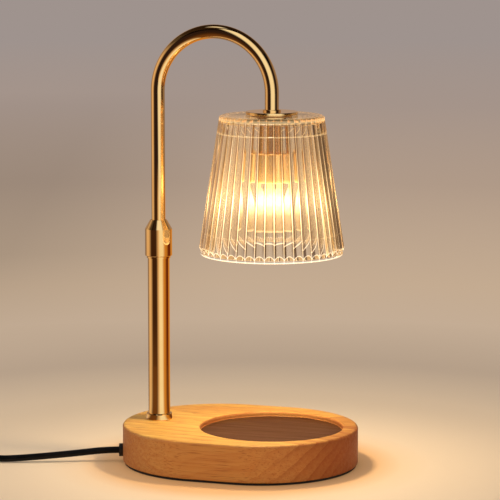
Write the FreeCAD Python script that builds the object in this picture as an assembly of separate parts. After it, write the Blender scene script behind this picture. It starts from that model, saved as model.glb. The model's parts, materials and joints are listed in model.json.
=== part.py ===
import FreeCAD, Part
import math
import os

# Candle warmer lamp: a wooden base with a round candle recess, a telescopic brass
# pole whose hooked arm slides and swivels, and a fluted glass shade that hangs over
# the candle with a downward reflector bulb inside it.
# Millimetres, +Z up. The origin is the centre of the base's underside; the pole
# stands on the -X side and the shade hangs on the +X side.

Vector = FreeCAD.Vector
UP = Vector(0, 0, 1)

# ---- fits and clearances ----------------------------------------------------
running_fit = 0.05         # radial, a piece that slides or turns in another
loose_fit = 0.2            # radial, a screw or thread in its clearance hole
moving_gap = 0.35          # between faces of pieces that move past each other
cut_over = 1.0             # how far a cutting tool runs past the face it opens
edge_break = 0.6           # bevel or round on the edges of small turned pieces

# ---- wooden base ------------------------------------------------------------
base_length = 206.0
base_width = 168.0
wood_thickness = 32.0
top_edge_round = 2.2
bottom_edge_round = 1.0
pad_thickness = 2.0
pad_inset = 1.5
recess_radius = 61.5       # straight wall of the candle recess
recess_depth = 4.5
recess_rim_round = 2.0     # rounded lip between the wall and the base's top
recess_floor_round = 1.0
recess_end_margin = 11.0   # flat wood left between the lip and the base's end
pole_end_margin = 28.5     # pole axis to the base's other end

# ---- cable pocket under the pole ---------------------------------------------
pocket_length = 54.0
pocket_width = 46.0
pocket_depth = 16.0
pocket_shift = 9.0         # pocket centre, from the pole axis towards the shade
cover_thickness = 1.5
cover_shelf = 5.0          # width of the step that the cover plate lies on
cover_side_gap = 0.3
cover_screw_length = 9.0
cover_screw_radius = 1.3
cover_head_radius = 2.4

# ---- pole, from the wood upwards ----------------------------------------------
thread_radius = 5.0        # M10 x 1 hollow nipples at both ends of the tubing
nipple_bore = 3.75
washer_radius = 12.0
washer_thickness = 2.0
nut_across_flats = 15.0
nut_height = 5.0
nipple_tail = 1.5          # nipple below the nut
foot_radius = 11.2
foot_height = 5.5
foot_floor = 1.2           # thickness of the foot ring's floor under the tube
lower_tube_radius = 9.5
lower_tube_wall = 1.2
lower_tube_length = 141.5
tube_plug_height = 9.0
ferrule_spigot = 8.0       # ferrule inside the tube's top end
ferrule_rim_radius = 10.3
ferrule_rim_height = 1.5
ferrule_thread_radius = 9.1
ferrule_thread_height = 13.5
collar_radius = 11.75
collar_straight = 23.5
collar_cone = 8.0
collar_mouth_wall = 0.8    # metal left round the arm at the collar's tip
collar_lip = 3.5           # straight bore at the collar's tip
collar_bevel = 0.4
collet_wall = 0.9          # thinnest wall, at the collet's tip
collet_straight = 7.0
collet_slit = 1.6
collet_slit_start = 2.3    # uncut ring at the collet's foot

# ---- hooked arm ---------------------------------------------------------------
arm_radius = 6.0
arm_wall = 1.0
arm_overlap = 38.5         # arm inside the lower tube at this height setting
arm_riser = 184.0          # straight stretch from the arm's lower end to the bend
arm_drop = 15.4            # straight stretch from the bend down to the disc
arm_tail = 2.5             # arm tube below the guide bush
bush_length = 12.0
clip_thickness = 0.8
clip_width = 0.9           # how far a clip stands out of the arm
clip_mouth = 6.0
clip_depth = 0.5           # groove in the arm tube that the clips snap into

# ---- fluted glass shade ----------------------------------------------------------
shade_height = 119.5
shade_bottom_radius = 63.1 # crests of the flutes, carried down to the bottom edge's level
shade_top_radius = 44.6    # and up to the top's level
shade_wall = 4.2           # at the crest of a flute
shade_top_thickness = 4.0
shade_hole_radius = 7.0
shade_shoulder_round = 4.5
shade_inner_round = 4.0
flute_count = 46
flute_depth = 1.5          # at the bottom edge; it shrinks with the radius
rim_height = 2.3           # smooth ring under the flutes
rim_inset = 2.3            # ring inside the line of the crests
rim_round = 0.9
bevel_height = 4.0         # slope from the ring out to the crests; it ends each flute in a point
ledge_drop = 11.0          # step inside the glass, below its ceiling
ledge_width = 0.6

# ---- fittings that hold the shade and the bulb --------------------------------------
disc_radius = 22.3
disc_thickness = 2.4
disc_edge_round = 0.5
end_ring_radius = 7.75
end_ring_height = 1.6
gasket_radius = 17.0
upper_gasket_thickness = 0.6
lower_gasket_thickness = 1.0
nipple_reach = 10.0        # shade nipple inside the arm tube
neck_radius = 12.0
neck_length = 26.0
neck_bore = 5.6
neck_thread_depth = 6.0
cup_radius = 20.5
cup_height = 25.8
cup_wall = 1.2
cup_top_round = 2.0
cup_inner_round = 0.8
cup_hole_radius = 4.5
holder_radius = 14.0
holder_height = 17.0
holder_screw_offset = 8.8
holder_screw_radius = 1.5
holder_head_radius = 2.7
holder_head_height = 2.2
holder_screw_bite = 7.0    # screw inside the neck

# ---- twist-and-lock reflector bulb ----------------------------------------------------
pin_offset = 5.0
pin_radius = 1.5
pin_head_radius = 2.5
pin_head_height = 1.8
pin_length = 6.6
pin_root = 4.0             # pin inside the bulb's base
pin_socket_depth = 7.4
pin_socket_width = 5.8
pin_socket_start = 90.0    # degrees, where the first slot starts; the second is half a turn on
pin_socket_turn = 40.0     # degrees that the bulb twists to lock
bulb_neck_radius = 9.6
bulb_neck_length = 13.0
bulb_length = 48.5
bulb_face_radius = 24.8
bulb_glass = 1.2
bulb_rim_height = 2.4
lens_thickness = 1.6
lens_sink = 0.4            # lens behind the reflector's rim
capsule_radius = 4.5
capsule_length = 17.0
capsule_glass = 0.8
capsule_seat = 4.0         # capsule inside the bulb's base
capsule_tip = 0.9          # share of the capsule's radius that its round tip takes
filament_radius = 1.1
filament_wire = 0.18
filament_length = 6.0
filament_turns = 6
contact_width = 3.2
contact_thickness = 0.8
contact_height = 4.0

# ---- mains cord ------------------------------------------------------------------------
cord_radius = 2.9
cord_floor_gap = 0.1
cord_offset = 17.15        # the cord passes this far beside the pole's axis
cord_exit_height = 9.8
cord_lead = 27.2           # straight run out of the grommet
grommet_flange_radius = 5.6
grommet_flange_height = 3.4
grommet_barrel_radius = 4.2
grommet_setback = 1.0      # barrel's inner end, from the pocket's wall
flange_root = 0.5          # flange drawn into the wood before the wood's curve trims it
clamp_length = 14.4
clamp_width = 8.0
clamp_setback = 27.0       # clamp's centre, from the wall where the cord enters the pocket
clamp_floor = 1.4          # clamp under the cord
clamp_corner_round = 1.0
clamp_screw_offset = 4.9
clamp_screw_radius = 1.2
clamp_head_radius = 2.1
clamp_head_height = 1.6
clamp_screw_bite = 8.0
wire_radius = 0.95
wire_spacing = 1.1         # each conductor's centre from the middle of the pair
wire_lead = 6.0            # conductors' straight run out of the clamp
wire_loop = 7.0            # half the width of their loop back to the pole
wire_bend = 7.5            # level run before they turn up into the pole
wire_top_gap = 2.0         # conductors end this far above the plug; the slack is loose above
run_share = 0.45           # of the shorter run, taken by the arc at each end of it

# ---- in-line dimmer ----------------------------------------------------------------------
dimmer_length = 72.0
dimmer_width = 32.0
dimmer_height = 20.0
dimmer_wall = 2.0
dimmer_top_round = 4.0
dimmer_bottom_round = 3.0
dimmer_x = -302.0
dimmer_y = -66.0
relief_length = 20.0       # tapered cord sleeve outside each end of the dimmer
relief_root = 5.0          # and its root inside
relief_radius = 4.6
relief_tip_wall = 0.7
relief_grooves = 4
relief_groove_width = 1.4
relief_groove_depth = 0.6
dimmer_end_wall = 8.0
dial_radius = 12.0
dial_height = 6.5
dial_well_depth = 3.0
dial_notches = 24
dial_notch_radius = 0.9
dial_edge = 0.8
dial_shaft_radius = 3.0
shaft_bite = 2.5           # dial shaft inside the potentiometer
pot_radius = 8.0
pot_height = 5.5
board_length = 40.0
board_width = 22.0
board_thickness = 1.6
board_standoff = 1.2
board_foot = 4.0
board_foot_offset = 14.0
dimmer_screw_x = 25.0      # the two screws stand at opposite corners, from the dimmer's centre
dimmer_screw_y = 8.5
dimmer_screw_radius = 1.25
dimmer_screw_bite = 5.5    # screw inside the upper shell
dimmer_post_radius = 3.0
dimmer_head_radius = 2.3
dimmer_head_height = 1.6

# ---- coil of spare cord and the plug --------------------------------------------------------
coil_x = -366.05
coil_y = 26.0
coil_turn_radius = 34.8    # middle of the turns
coil_turns_below = 4       # side by side on the floor
coil_turns_above = 3       # on top of them, in the grooves between
turn_pitch = 5.9
coil_edge_round = 2.5
plug_x = -309.6            # where the cord enters the plug, which points to -Y
plug_y = 17.2
plug_boot_length = 20.0
plug_boot_radius = 4.6
boot_tip_wall = 0.6
boot_root = 3.0            # boot inside the grip
plug_body_length = 22.0
plug_body_width = 24.0
plug_body_height = 13.0
plug_body_round = 3.0
blade_length = 16.0
blade_width = 6.4
blade_thickness = 1.5
blade_spacing = 12.7
blade_root = 3.0           # blade inside the plug's face
blade_bevel = 0.5

# ---- places that follow from the sizes -----------------------------------------------------
recess_lip_radius = recess_radius + recess_rim_round
pole_x = -base_length / 2 + pole_end_margin
shade_x = base_length / 2 - recess_end_margin - recess_lip_radius
arm_reach = shade_x - pole_x
end_curve_x = -(base_length - base_width) / 2

wood_bottom = pad_thickness
wood_top = wood_bottom + wood_thickness
pocket_top = wood_bottom + pocket_depth
pocket_x = pole_x + pocket_shift
cover_top = wood_bottom + cover_thickness
clamp_bottom = cord_exit_height - cord_radius - clamp_floor
nut_top = pocket_top - washer_thickness
nut_bottom = nut_top - nut_height
lower_nipple_bottom = nut_bottom - nipple_tail
wire_floor = (cover_top + lower_nipple_bottom) / 2
tube_bottom = wood_top + foot_floor
tube_top = tube_bottom + lower_tube_length
tube_bore = lower_tube_radius - lower_tube_wall
plug_top = tube_bottom + tube_plug_height
ferrule_top = tube_top + ferrule_rim_height + ferrule_thread_height
collar_bottom = tube_top + ferrule_rim_height + moving_gap
collar_edge = collar_bottom + collar_straight
collar_top = collar_edge + collar_cone
collar_bore = ferrule_thread_radius + loose_fit
lip_radius = arm_radius + moving_gap
inner_cone_bottom = ferrule_top + collet_straight + moving_gap
inner_cone_top = collar_top - collar_lip

arm_bottom = tube_top - arm_overlap
arch_z = arm_bottom + arm_riser
arch_radius = arm_reach / 2
bush_bottom = arm_bottom + arm_tail
bush_top = bush_bottom + bush_length

disc_top = arch_z - arm_drop
disc_bottom = disc_top - disc_thickness
shade_top = disc_bottom - upper_gasket_thickness
shade_bottom = shade_top - shade_height
shade_ceiling = shade_top - shade_top_thickness
neck_top = shade_ceiling - lower_gasket_thickness
neck_bottom = neck_top - neck_length
cup_bottom = neck_bottom - cup_height
holder_top = neck_bottom - cup_wall
holder_bottom = holder_top - holder_height
bulb_top = holder_bottom - running_fit
bulb_face = bulb_top - bulb_length
reflector_top = bulb_top - bulb_neck_length
capsule_top = reflector_top + capsule_seat
capsule_bottom = capsule_top - capsule_length

dimmer_middle = dimmer_height / 2
board_bottom = dimmer_wall + board_standoff
pot_bottom = board_bottom + board_thickness
pot_top = pot_bottom + pot_height
dimmer_roof = dimmer_height - dimmer_wall - dial_well_depth
cord_on_floor = cord_radius + cord_floor_gap
half_pitch = turn_pitch / 2
coil_low_outer = coil_turn_radius + half_pitch * (coil_turns_below - 1)
coil_high_outer = coil_turn_radius + half_pitch * (coil_turns_above - 1)
top_turn = cord_on_floor + turn_pitch * math.sin(math.radians(60))
plug_middle = plug_body_height / 2


# ---- making and writing solids ----------------------------------------------------------------
def save(name, *solids):
    """Write one node: a single solid, or a group of separate ones."""
    shape = solids[0] if len(solids) == 1 else Part.makeCompound(list(solids))
    assert shape.isValid() and shape.Volume > 0, name
    shape.exportStep("parts/" + name + ".step")


def cylinder(radius, low, high, x=0.0, y=0.0):
    return Part.makeCylinder(radius, high - low, Vector(x, y, low))


def pipe(radius, bore, low, high, x=0.0):
    return cylinder(radius, low, high, x).cut(cylinder(bore, low - cut_over, high + cut_over, x))


def turned(profile, x=0.0):
    """Revolve a closed (radius, height) outline about the vertical line at x."""
    outline = Part.makePolygon([Vector(r, 0, z) for r, z in profile + profile[:1]])
    solid = Part.Face(outline).revolve(Vector(0, 0, 0), UP, 360)
    solid.translate(Vector(x, 0, 0))
    return solid


def turned_edges(edges, x=0.0):
    """Revolve an outline of lines and arcs, drawn in the XZ plane, about the line at x."""
    solid = Part.Face(Part.Wire(edges)).revolve(Vector(0, 0, 0), UP, 360)
    solid.translate(Vector(x, 0, 0))
    return solid


def line(start, end):
    return Part.LineSegment(start, end).toShape()


def slab(length, width, low, high, x=0.0, y=0.0):
    """An upright block with half-round ends, lying along X."""
    half = (length - width) / 2
    radius = width / 2
    block = Part.makeBox(2 * half, width, high - low, Vector(x - half, y - radius, low))
    ends = [cylinder(radius, low, high, x + side * half, y) for side in (-1, 1)]
    return block.fuse(ends).removeSplitter()


def level_edges(shape, z):
    """The edges of a shape that lie flat at one height."""
    tiny = 1e-4
    return [e for e in shape.Edges if abs(e.BoundBox.ZMin - z) < tiny and abs(e.BoundBox.ZMax - z) < tiny]


def rounded(shape, radius, z):
    return shape.makeFillet(radius, level_edges(shape, z))


def along(shape, position, degrees):
    """Turn a shape about Z and carry it to a position."""
    placed = shape.copy()
    placed.Placement = FreeCAD.Placement(position, FreeCAD.Rotation(UP, degrees))
    return placed


# ---- cords: straight runs joined by tangent arcs ------------------------------------------------
def cord_path(points):
    """Join the points by straight runs, with the largest arc at each turn that its runs allow."""
    edges = []
    radii = []
    start = points[0]
    for before, corner, after in zip(points, points[1:], points[2:]):
        into = corner - before
        out = after - corner
        reach = run_share * min(into.Length, out.Length)
        turn = into.getAngle(out)
        into.normalize()
        out.normalize()
        first = corner - into * reach
        last = corner + out * reach
        radius = reach / math.tan(turn / 2)
        to_centre = out - into
        to_centre.normalize()
        centre = corner + to_centre * (radius / math.cos(turn / 2))
        middle = centre - to_centre * radius
        edges.append(line(start, first))
        edges.append(Part.Arc(first, middle, last).toShape())
        radii.append(radius)
        start = last
    edges.append(line(start, points[-1]))
    return Part.Wire(edges), radii


def swept(path, radius, start, heading):
    section = Part.Wire([Part.makeCircle(radius, start, heading)])
    return path.makePipeShell([section], True, False)


def cord_tube(name, points, radius=cord_radius):
    path, radii = cord_path(points)
    tube = swept(path, radius, points[0], points[1] - points[0])
    share = tube.Volume / (math.pi * radius ** 2 * path.Length)
    print(name, "length", round(path.Length, 1), "smallest radius", round(min(radii), 1),
          "volume / (section x length)", round(share, 4))
    return tube


# ---- wooden base ------------------------------------------------------------------------------
cord_exit_angle = math.degrees(math.asin(cord_offset / (end_curve_x - pole_x)))
exit_turn = math.radians(180 + cord_exit_angle)
exit_way = Vector(math.cos(exit_turn), math.sin(exit_turn), 0)
end_curve_centre = Vector(end_curve_x, 0, cord_exit_height)
exit_on_wood = end_curve_centre + exit_way * (base_width / 2)
exit_face = exit_on_wood + exit_way * grommet_flange_height
sideways = exit_way.cross(UP)


def pocket_wall_distance():
    """How far from the end curve's centre the cord breaks into the pocket."""
    offset = Vector(pocket_x - (pocket_length - pocket_width) / 2 - end_curve_x, 0, 0)
    beside = offset.dot(exit_way)
    across = offset.dot(sideways)
    return beside + math.sqrt((pocket_width / 2) ** 2 - across ** 2)


clamp_distance = pocket_wall_distance() - clamp_setback


def pocket_screws():
    """Places of the four cover screws: in the middle of the shelf round the pocket."""
    out_x = pocket_length / 2 + cover_shelf / 2
    out_y = pocket_width / 2 + cover_shelf / 2
    return [(pocket_x - out_x, 0), (pocket_x + out_x, 0), (pocket_x, -out_y), (pocket_x, out_y)]


def clamp_frame(shape):
    """Carry a shape drawn across X at the origin to the cord clamp's place."""
    return along(shape, Vector(end_curve_x, 0, 0) + exit_way * clamp_distance, 180 + cord_exit_angle)


def clamp_screw_places():
    return [(0, side * clamp_screw_offset) for side in (-1, 1)]


def wood_base():
    base = slab(base_length, base_width, wood_bottom, wood_top)
    base = rounded(base, top_edge_round, wood_top)
    base = rounded(base, bottom_edge_round, wood_bottom)
    floor = wood_top - recess_depth
    recess = cylinder(recess_radius, floor, wood_top + cut_over, shade_x)
    recess = rounded(recess, recess_floor_round, floor)
    lip_start = Vector(recess_radius, 0, wood_top - recess_rim_round)
    lip_end = Vector(recess_lip_radius, 0, wood_top)
    lip_corner = Vector(recess_radius, 0, wood_top)
    lip_centre = Vector(recess_lip_radius, 0, wood_top - recess_rim_round)
    bow = (lip_corner - lip_centre).normalize() * recess_rim_round
    lip = turned_edges([Part.Arc(lip_start, lip_centre + bow, lip_end).toShape(),
                        line(lip_end, lip_corner), line(lip_corner, lip_start)], shade_x)
    base = base.cut([recess, lip])
    pocket = slab(pocket_length, pocket_width, wood_bottom - cut_over, pocket_top, pocket_x)
    shelf = slab(pocket_length + 2 * cover_shelf, pocket_width + 2 * cover_shelf,
                 wood_bottom - cut_over, cover_top, pocket_x)
    pole_hole = cylinder(thread_radius + loose_fit, pocket_top - cut_over, wood_top + cut_over, pole_x)
    way_in = base_width / 2 + cut_over
    cord_hole = Part.makeCylinder(grommet_barrel_radius, way_in - clamp_distance,
                                  end_curve_centre + exit_way * clamp_distance, exit_way)
    pilots = [cylinder(cover_screw_radius, cover_top - cut_over, wood_bottom + cover_screw_length, x, y)
              for x, y in pocket_screws()]
    clamp_pilots = [clamp_frame(cylinder(clamp_screw_radius, pocket_top - cut_over,
                                         pocket_top + clamp_screw_bite, x, y))
                    for x, y in clamp_screw_places()]
    return base.cut([pocket, shelf, pole_hole, cord_hole] + pilots + clamp_pilots)


def base_pad():
    return slab(base_length - 2 * pad_inset, base_width - 2 * pad_inset, 0, pad_thickness)


def cover_head(x, y):
    """Countersunk screw head, flush with the underside of the cover plate."""
    return Part.makeCone(cover_head_radius, cover_screw_radius, cover_thickness, Vector(x, y, wood_bottom))


def cover_plate():
    grown = 2 * (cover_shelf - cover_side_gap)
    plate = slab(pocket_length + grown, pocket_width + grown, wood_bottom, cover_top, pocket_x)
    return plate.cut([cover_head(x, y) for x, y in pocket_screws()])


def cover_screws():
    tip = wood_bottom + cover_screw_length
    return [cover_head(x, y).fuse(cylinder(cover_screw_radius, wood_bottom, tip, x, y))
            for x, y in pocket_screws()]


# ---- cord entry ---------------------------------------------------------------------------------
def cord_grommet():
    """Flanged rubber bush in the wood, trimmed to the curve of the base's end."""
    inner_end = pocket_wall_distance() + grommet_setback
    barrel = Part.makeCylinder(grommet_barrel_radius - running_fit, base_width / 2 - inner_end,
                               end_curve_centre + exit_way * inner_end, exit_way)
    seat = exit_on_wood - exit_way * flange_root
    flange = Part.makeCylinder(grommet_flange_radius, grommet_flange_height + flange_root, seat, exit_way)
    flange = flange.cut(slab(base_length, base_width, wood_bottom, wood_top))
    bore = Part.makeCylinder(cord_radius + running_fit, base_width, end_curve_centre, exit_way)
    return barrel.fuse(flange).cut(bore).removeSplitter()


def inner_cord():
    """The sheathed cord from the grommet's outer face to the inner face of the clamp."""
    length = base_width / 2 + grommet_flange_height - clamp_distance + clamp_width / 2
    return Part.makeCylinder(cord_radius, length, exit_face, exit_way * -1)


def cord_clamp():
    block = Part.makeBox(clamp_width, clamp_length, pocket_top - clamp_bottom,
                         Vector(-clamp_width / 2, -clamp_length / 2, clamp_bottom))
    hole = Part.makeCylinder(cord_radius, clamp_width + 2 * cut_over,
                             Vector(-clamp_width / 2 - cut_over, 0, cord_exit_height), Vector(1, 0, 0))
    screws = [cylinder(clamp_screw_radius, clamp_bottom - cut_over, pocket_top + cut_over, x, y)
              for x, y in clamp_screw_places()]
    heads = [cylinder(clamp_head_radius, clamp_bottom - cut_over, clamp_bottom + clamp_head_height, x, y)
             for x, y in clamp_screw_places()]
    upright = [e for e in block.Edges if e.BoundBox.ZLength > clamp_width]
    return clamp_frame(block.makeFillet(clamp_corner_round, upright).cut([hole] + screws + heads))


def clamp_screws():
    screws = []
    for x, y in clamp_screw_places():
        head = cylinder(clamp_head_radius, clamp_bottom, clamp_bottom + clamp_head_height, x, y)
        shank = cylinder(clamp_screw_radius, clamp_bottom, pocket_top + clamp_screw_bite, x, y)
        screws.append(clamp_frame(head.fuse(shank)))
    return screws


def pair(path_points, aside):
    """Two conductors side by side along one route, moved apart by the vector aside."""
    solids = []
    for side in (-1, 1):
        points = [p + aside * (side * wire_spacing) for p in path_points]
        path, _ = cord_path(points)
        solids.append(swept(path, wire_radius, points[0], points[1] - points[0]))
    return solids


def base_wires():
    """From the clamp, in a loop back to the pole and up through the hollow nipple."""
    start = end_curve_centre + exit_way * (clamp_distance - clamp_width / 2)
    lead = start - exit_way * wire_lead
    turn = lead + sideways * wire_loop - exit_way * (wire_loop / 2)
    back = lead + sideways * (2 * wire_loop)
    below_pole = Vector(pole_x, 0, wire_floor)
    home = Vector(back.x, back.y, wire_floor) - below_pole
    home.normalize()
    route = [start, lead, turn, back, below_pole + home * wire_bend, below_pole,
             Vector(pole_x, 0, plug_top + wire_top_gap)]
    return pair(route, sideways + UP)


# ---- pole ---------------------------------------------------------------------------------------
def hexagon(across_flats, low, high, x):
    corner = across_flats / 2 / math.cos(math.pi / 6)
    turns = [math.radians(60 * i) for i in range(7)]
    outline = Part.makePolygon([Vector(x + corner * math.cos(t), corner * math.sin(t), low) for t in turns])
    return Part.Face(outline).extrude(Vector(0, 0, high - low))


def pole_nut():
    return hexagon(nut_across_flats, nut_bottom, nut_top, pole_x).cut(
        cylinder(thread_radius + running_fit, nut_bottom - cut_over, nut_top + cut_over, pole_x))


def pole_washer():
    return pipe(washer_radius, thread_radius + loose_fit, nut_top, pocket_top, pole_x)


def pole_nipple():
    return pipe(thread_radius, nipple_bore, lower_nipple_bottom, plug_top, pole_x)


def tube_plug():
    return pipe(tube_bore - running_fit, thread_radius + running_fit, tube_bottom, plug_top, pole_x)


def foot_ring():
    """Turned foot: a thin floor under the tube and a low wall round it."""
    inner = lower_tube_radius + running_fit
    hole = thread_radius + loose_fit
    high = wood_top + foot_height
    return turned([(hole, wood_top), (foot_radius, wood_top), (foot_radius, high - edge_break),
                   (foot_radius - edge_break, high), (inner, high), (inner, tube_bottom),
                   (hole, tube_bottom)], pole_x)


def lower_tube():
    return pipe(lower_tube_radius, tube_bore, tube_bottom, tube_top, pole_x)


def tube_ferrule():
    """Threaded ferrule in the tube's top end; the arm runs through it and the collar screws on."""
    bore = arm_radius + loose_fit
    spigot = tube_bore - running_fit
    rim_top = tube_top + ferrule_rim_height
    low = tube_top - ferrule_spigot
    return turned([(bore, low), (spigot, low), (spigot, tube_top), (ferrule_rim_radius, tube_top),
                   (ferrule_rim_radius, rim_top), (ferrule_thread_radius, rim_top),
                   (ferrule_thread_radius, ferrule_top), (bore, ferrule_top)], pole_x)


def lock_collar():
    """Twist collar: a straight skirt over the ferrule's thread and a cone down to the arm."""
    tip = lip_radius + collar_mouth_wall
    return turned([(collar_bore, collar_bottom), (collar_radius - collar_bevel, collar_bottom),
                   (collar_radius, collar_bottom + collar_bevel), (collar_radius, collar_edge),
                   (tip, collar_top), (lip_radius, collar_top), (lip_radius, inner_cone_top),
                   (collar_bore, inner_cone_bottom)], pole_x)


def collet():
    """Split nylon collet: the collar's cone squeezes it onto the arm."""
    inner = arm_radius + running_fit
    outer = collar_bore - moving_gap
    slope = (collar_bore - lip_radius) / (inner_cone_top - inner_cone_bottom)
    tip_radius = inner + collet_wall
    tip = inner_cone_bottom - moving_gap + (outer - tip_radius) / slope
    ring = turned([(inner, ferrule_top), (outer, ferrule_top), (outer, ferrule_top + collet_straight),
                   (tip_radius, tip), (inner, tip)], pole_x)
    slit = Part.makeBox(collar_radius, collet_slit, collar_top - ferrule_top,
                        Vector(pole_x, -collet_slit / 2, ferrule_top + collet_slit_start))
    return ring.cut(slit)


# ---- arm ---------------------------------------------------------------------------------------
def hook(radius, low, end):
    """A round bar along the arm: up the riser, over the half-circle, and down to the disc."""
    bend_start = Vector(pole_x, 0, arch_z)
    bend_end = Vector(shade_x, 0, arch_z)
    top = Vector(pole_x + arch_radius, 0, arch_z + arch_radius)
    path = Part.Wire([line(Vector(pole_x, 0, low), bend_start), Part.Arc(bend_start, top, bend_end).toShape(),
                      line(bend_end, Vector(shade_x, 0, end))])
    return swept(path, radius, Vector(pole_x, 0, low), UP)


def clip_places():
    """Lower faces of the two snap clips, one under the guide bush and one over it."""
    return [bush_bottom - running_fit - clip_thickness, bush_top + running_fit]


def arm_tube():
    tube = hook(arm_radius, arm_bottom, disc_top).cut(
        hook(arm_radius - arm_wall, arm_bottom - cut_over, disc_top - cut_over))
    grooves = [pipe(arm_radius + cut_over, arm_radius - clip_depth, z, z + clip_thickness, pole_x)
               for z in clip_places()]
    return tube.cut(grooves)


def guide_bush():
    return pipe(tube_bore - running_fit, arm_radius + running_fit, bush_bottom, bush_top, pole_x)


def bush_clips():
    """Two open snap rings seated in the arm's grooves."""
    bore = arm_radius - clip_depth + running_fit
    clips = []
    for z in clip_places():
        ring = pipe(arm_radius + clip_width, bore, z, z + clip_thickness, pole_x)
        mouth = Part.makeBox(tube_bore, clip_mouth, clip_thickness, Vector(pole_x, -clip_mouth / 2, z))
        clips.append(ring.cut(mouth))
    return clips


def arm_wires():
    """Two conductors through the arm and both nipples, down to the lamp holder."""
    solids = []
    for side in (-1, 1):
        wire = hook(wire_radius, arm_bottom, holder_top)
        wire.translate(Vector(0, side * wire_spacing, 0))
        solids.append(wire)
    return solids


# ---- shade and its fittings --------------------------------------------------------------------
def end_ring():
    ring = pipe(end_ring_radius, arm_radius + running_fit, disc_top, disc_top + end_ring_height, shade_x)
    return rounded(ring, edge_break, disc_top + end_ring_height)


def shade_disc():
    disc = cylinder(disc_radius, disc_bottom, disc_top, shade_x)
    disc = rounded(disc, disc_edge_round, disc_top)
    return disc.cut(cylinder(thread_radius + loose_fit, disc_bottom - cut_over, disc_top + cut_over, shade_x))


def gasket(low, thickness):
    return pipe(gasket_radius, thread_radius + loose_fit, low, low + thickness, shade_x)


def shade_nipple():
    return pipe(thread_radius - running_fit, nipple_bore, neck_top - neck_thread_depth,
                disc_top + nipple_reach, shade_x)


def flute_ring(z, crest):
    """One level of the shade's outline: a ring of convex arcs that meet in sharp valleys."""
    valley = crest * (1 - flute_depth / shade_bottom_radius)
    step = 2 * math.pi / flute_count
    arcs = []
    for i in range(flute_count):
        points = [Vector(r * math.cos(t), r * math.sin(t), z)
                  for r, t in ((valley, i * step), (crest, (i + 0.5) * step), (valley, (i + 1) * step))]
        arcs.append(Part.Arc(*points).toShape())
    return Part.Wire(arcs)


def shade_envelope(slope):
    """Turned outline of the shade: ring, bevel, crests and a rounded shoulder."""
    ring_radius = shade_bottom_radius - rim_inset
    ring_top = shade_bottom + rim_height
    bevel_width = rim_inset - slope * (rim_height + bevel_height)
    past = flute_depth / 2
    bevel_top = ring_top + bevel_height * (bevel_width + past) / bevel_width
    outline = turned([(0, shade_bottom), (ring_radius, shade_bottom), (ring_radius, ring_top),
                      (ring_radius + bevel_width + past, bevel_top), (shade_top_radius + past, shade_top),
                      (0, shade_top)])
    outline = rounded(outline, shade_shoulder_round, shade_top)
    return rounded(outline, rim_round, shade_bottom)


def shade_hollow(slope):
    """The space inside the shade, with a small step under the ceiling."""
    def wall_at(z):
        return shade_bottom_radius - shade_wall - slope * (z - shade_bottom)

    low = shade_bottom - cut_over
    ledge = shade_ceiling - ledge_drop
    hollow = turned([(0, low), (wall_at(low), low), (wall_at(ledge), ledge),
                     (wall_at(ledge) - ledge_width, ledge),
                     (wall_at(shade_ceiling) - ledge_width, shade_ceiling), (0, shade_ceiling)])
    return rounded(hollow, shade_inner_round, shade_ceiling)


def glass_shade():
    """Pressed glass: a fluted cone that ends in a bevel and a smooth ring, with a flat top."""
    fluted = Part.makeLoft([flute_ring(shade_bottom, shade_bottom_radius),
                            flute_ring(shade_top, shade_top_radius)], True, True)
    slope = (shade_bottom_radius - shade_top_radius) / shade_height
    hole = cylinder(shade_hole_radius, shade_ceiling - cut_over, shade_top + cut_over)
    shade = fluted.common(shade_envelope(slope)).cut([shade_hollow(slope), hole])
    shade.translate(Vector(shade_x, 0, 0))
    return shade


def screw_places():
    return [(shade_x + side * holder_screw_offset, 0) for side in (-1, 1)]


def holder_neck():
    """Turned neck under the glass: threaded for the nipple, bored for the wires, tapped for two screws."""
    deep = neck_top - neck_thread_depth
    body = turned([(thread_radius, deep), (neck_bore, deep), (neck_bore, neck_bottom),
                   (neck_radius, neck_bottom), (neck_radius, neck_top), (thread_radius, neck_top)], shade_x)
    tap_top = neck_bottom + holder_screw_bite + loose_fit
    taps = [cylinder(holder_screw_radius, neck_bottom - cut_over, tap_top, x, y) for x, y in screw_places()]
    return body.cut(taps)


def holder_cup():
    """Spun cup, open at the bottom, that shades the bulb's neck."""
    outer = rounded(cylinder(cup_radius, cup_bottom, neck_bottom, shade_x), cup_top_round, neck_bottom)
    inner = cylinder(cup_radius - cup_wall, cup_bottom - cut_over, holder_top, shade_x)
    inner = rounded(inner, cup_inner_round, holder_top)
    holes = [cylinder(holder_screw_radius + loose_fit, holder_top - cut_over, neck_bottom + cut_over, x, y)
             for x, y in screw_places()]
    holes.append(cylinder(cup_hole_radius, holder_top - cut_over, neck_bottom + cut_over, shade_x))
    return outer.cut([inner] + holes)


def pin_sockets():
    """Two curved slots where the bulb's pins go in and twist to lock."""
    half = pin_socket_width / 2
    slots = []
    for start in (pin_socket_start, pin_socket_start + 180):
        ring = pipe(pin_offset + half, pin_offset - half, holder_bottom - cut_over,
                    holder_bottom + pin_socket_depth)
        angles = [math.radians(start + turn) for turn in (0, -pin_socket_turn / 2, -pin_socket_turn)]
        far = 4 * pin_offset
        wedge = Part.makePolygon([Vector(0, 0, 0)] + [Vector(far * math.cos(a), far * math.sin(a), 0)
                                                      for a in angles] + [Vector(0, 0, 0)])
        wedge = Part.Face(wedge).extrude(Vector(0, 0, holder_bottom + holder_height))
        slot = ring.common(wedge)
        ends = [cylinder(half, holder_bottom - cut_over, holder_bottom + pin_socket_depth,
                         pin_offset * math.cos(a), pin_offset * math.sin(a)) for a in (angles[0], angles[-1])]
        slots.append(slot.fuse(ends))
    for slot in slots:
        slot.translate(Vector(shade_x, 0, 0))
    return slots


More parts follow.
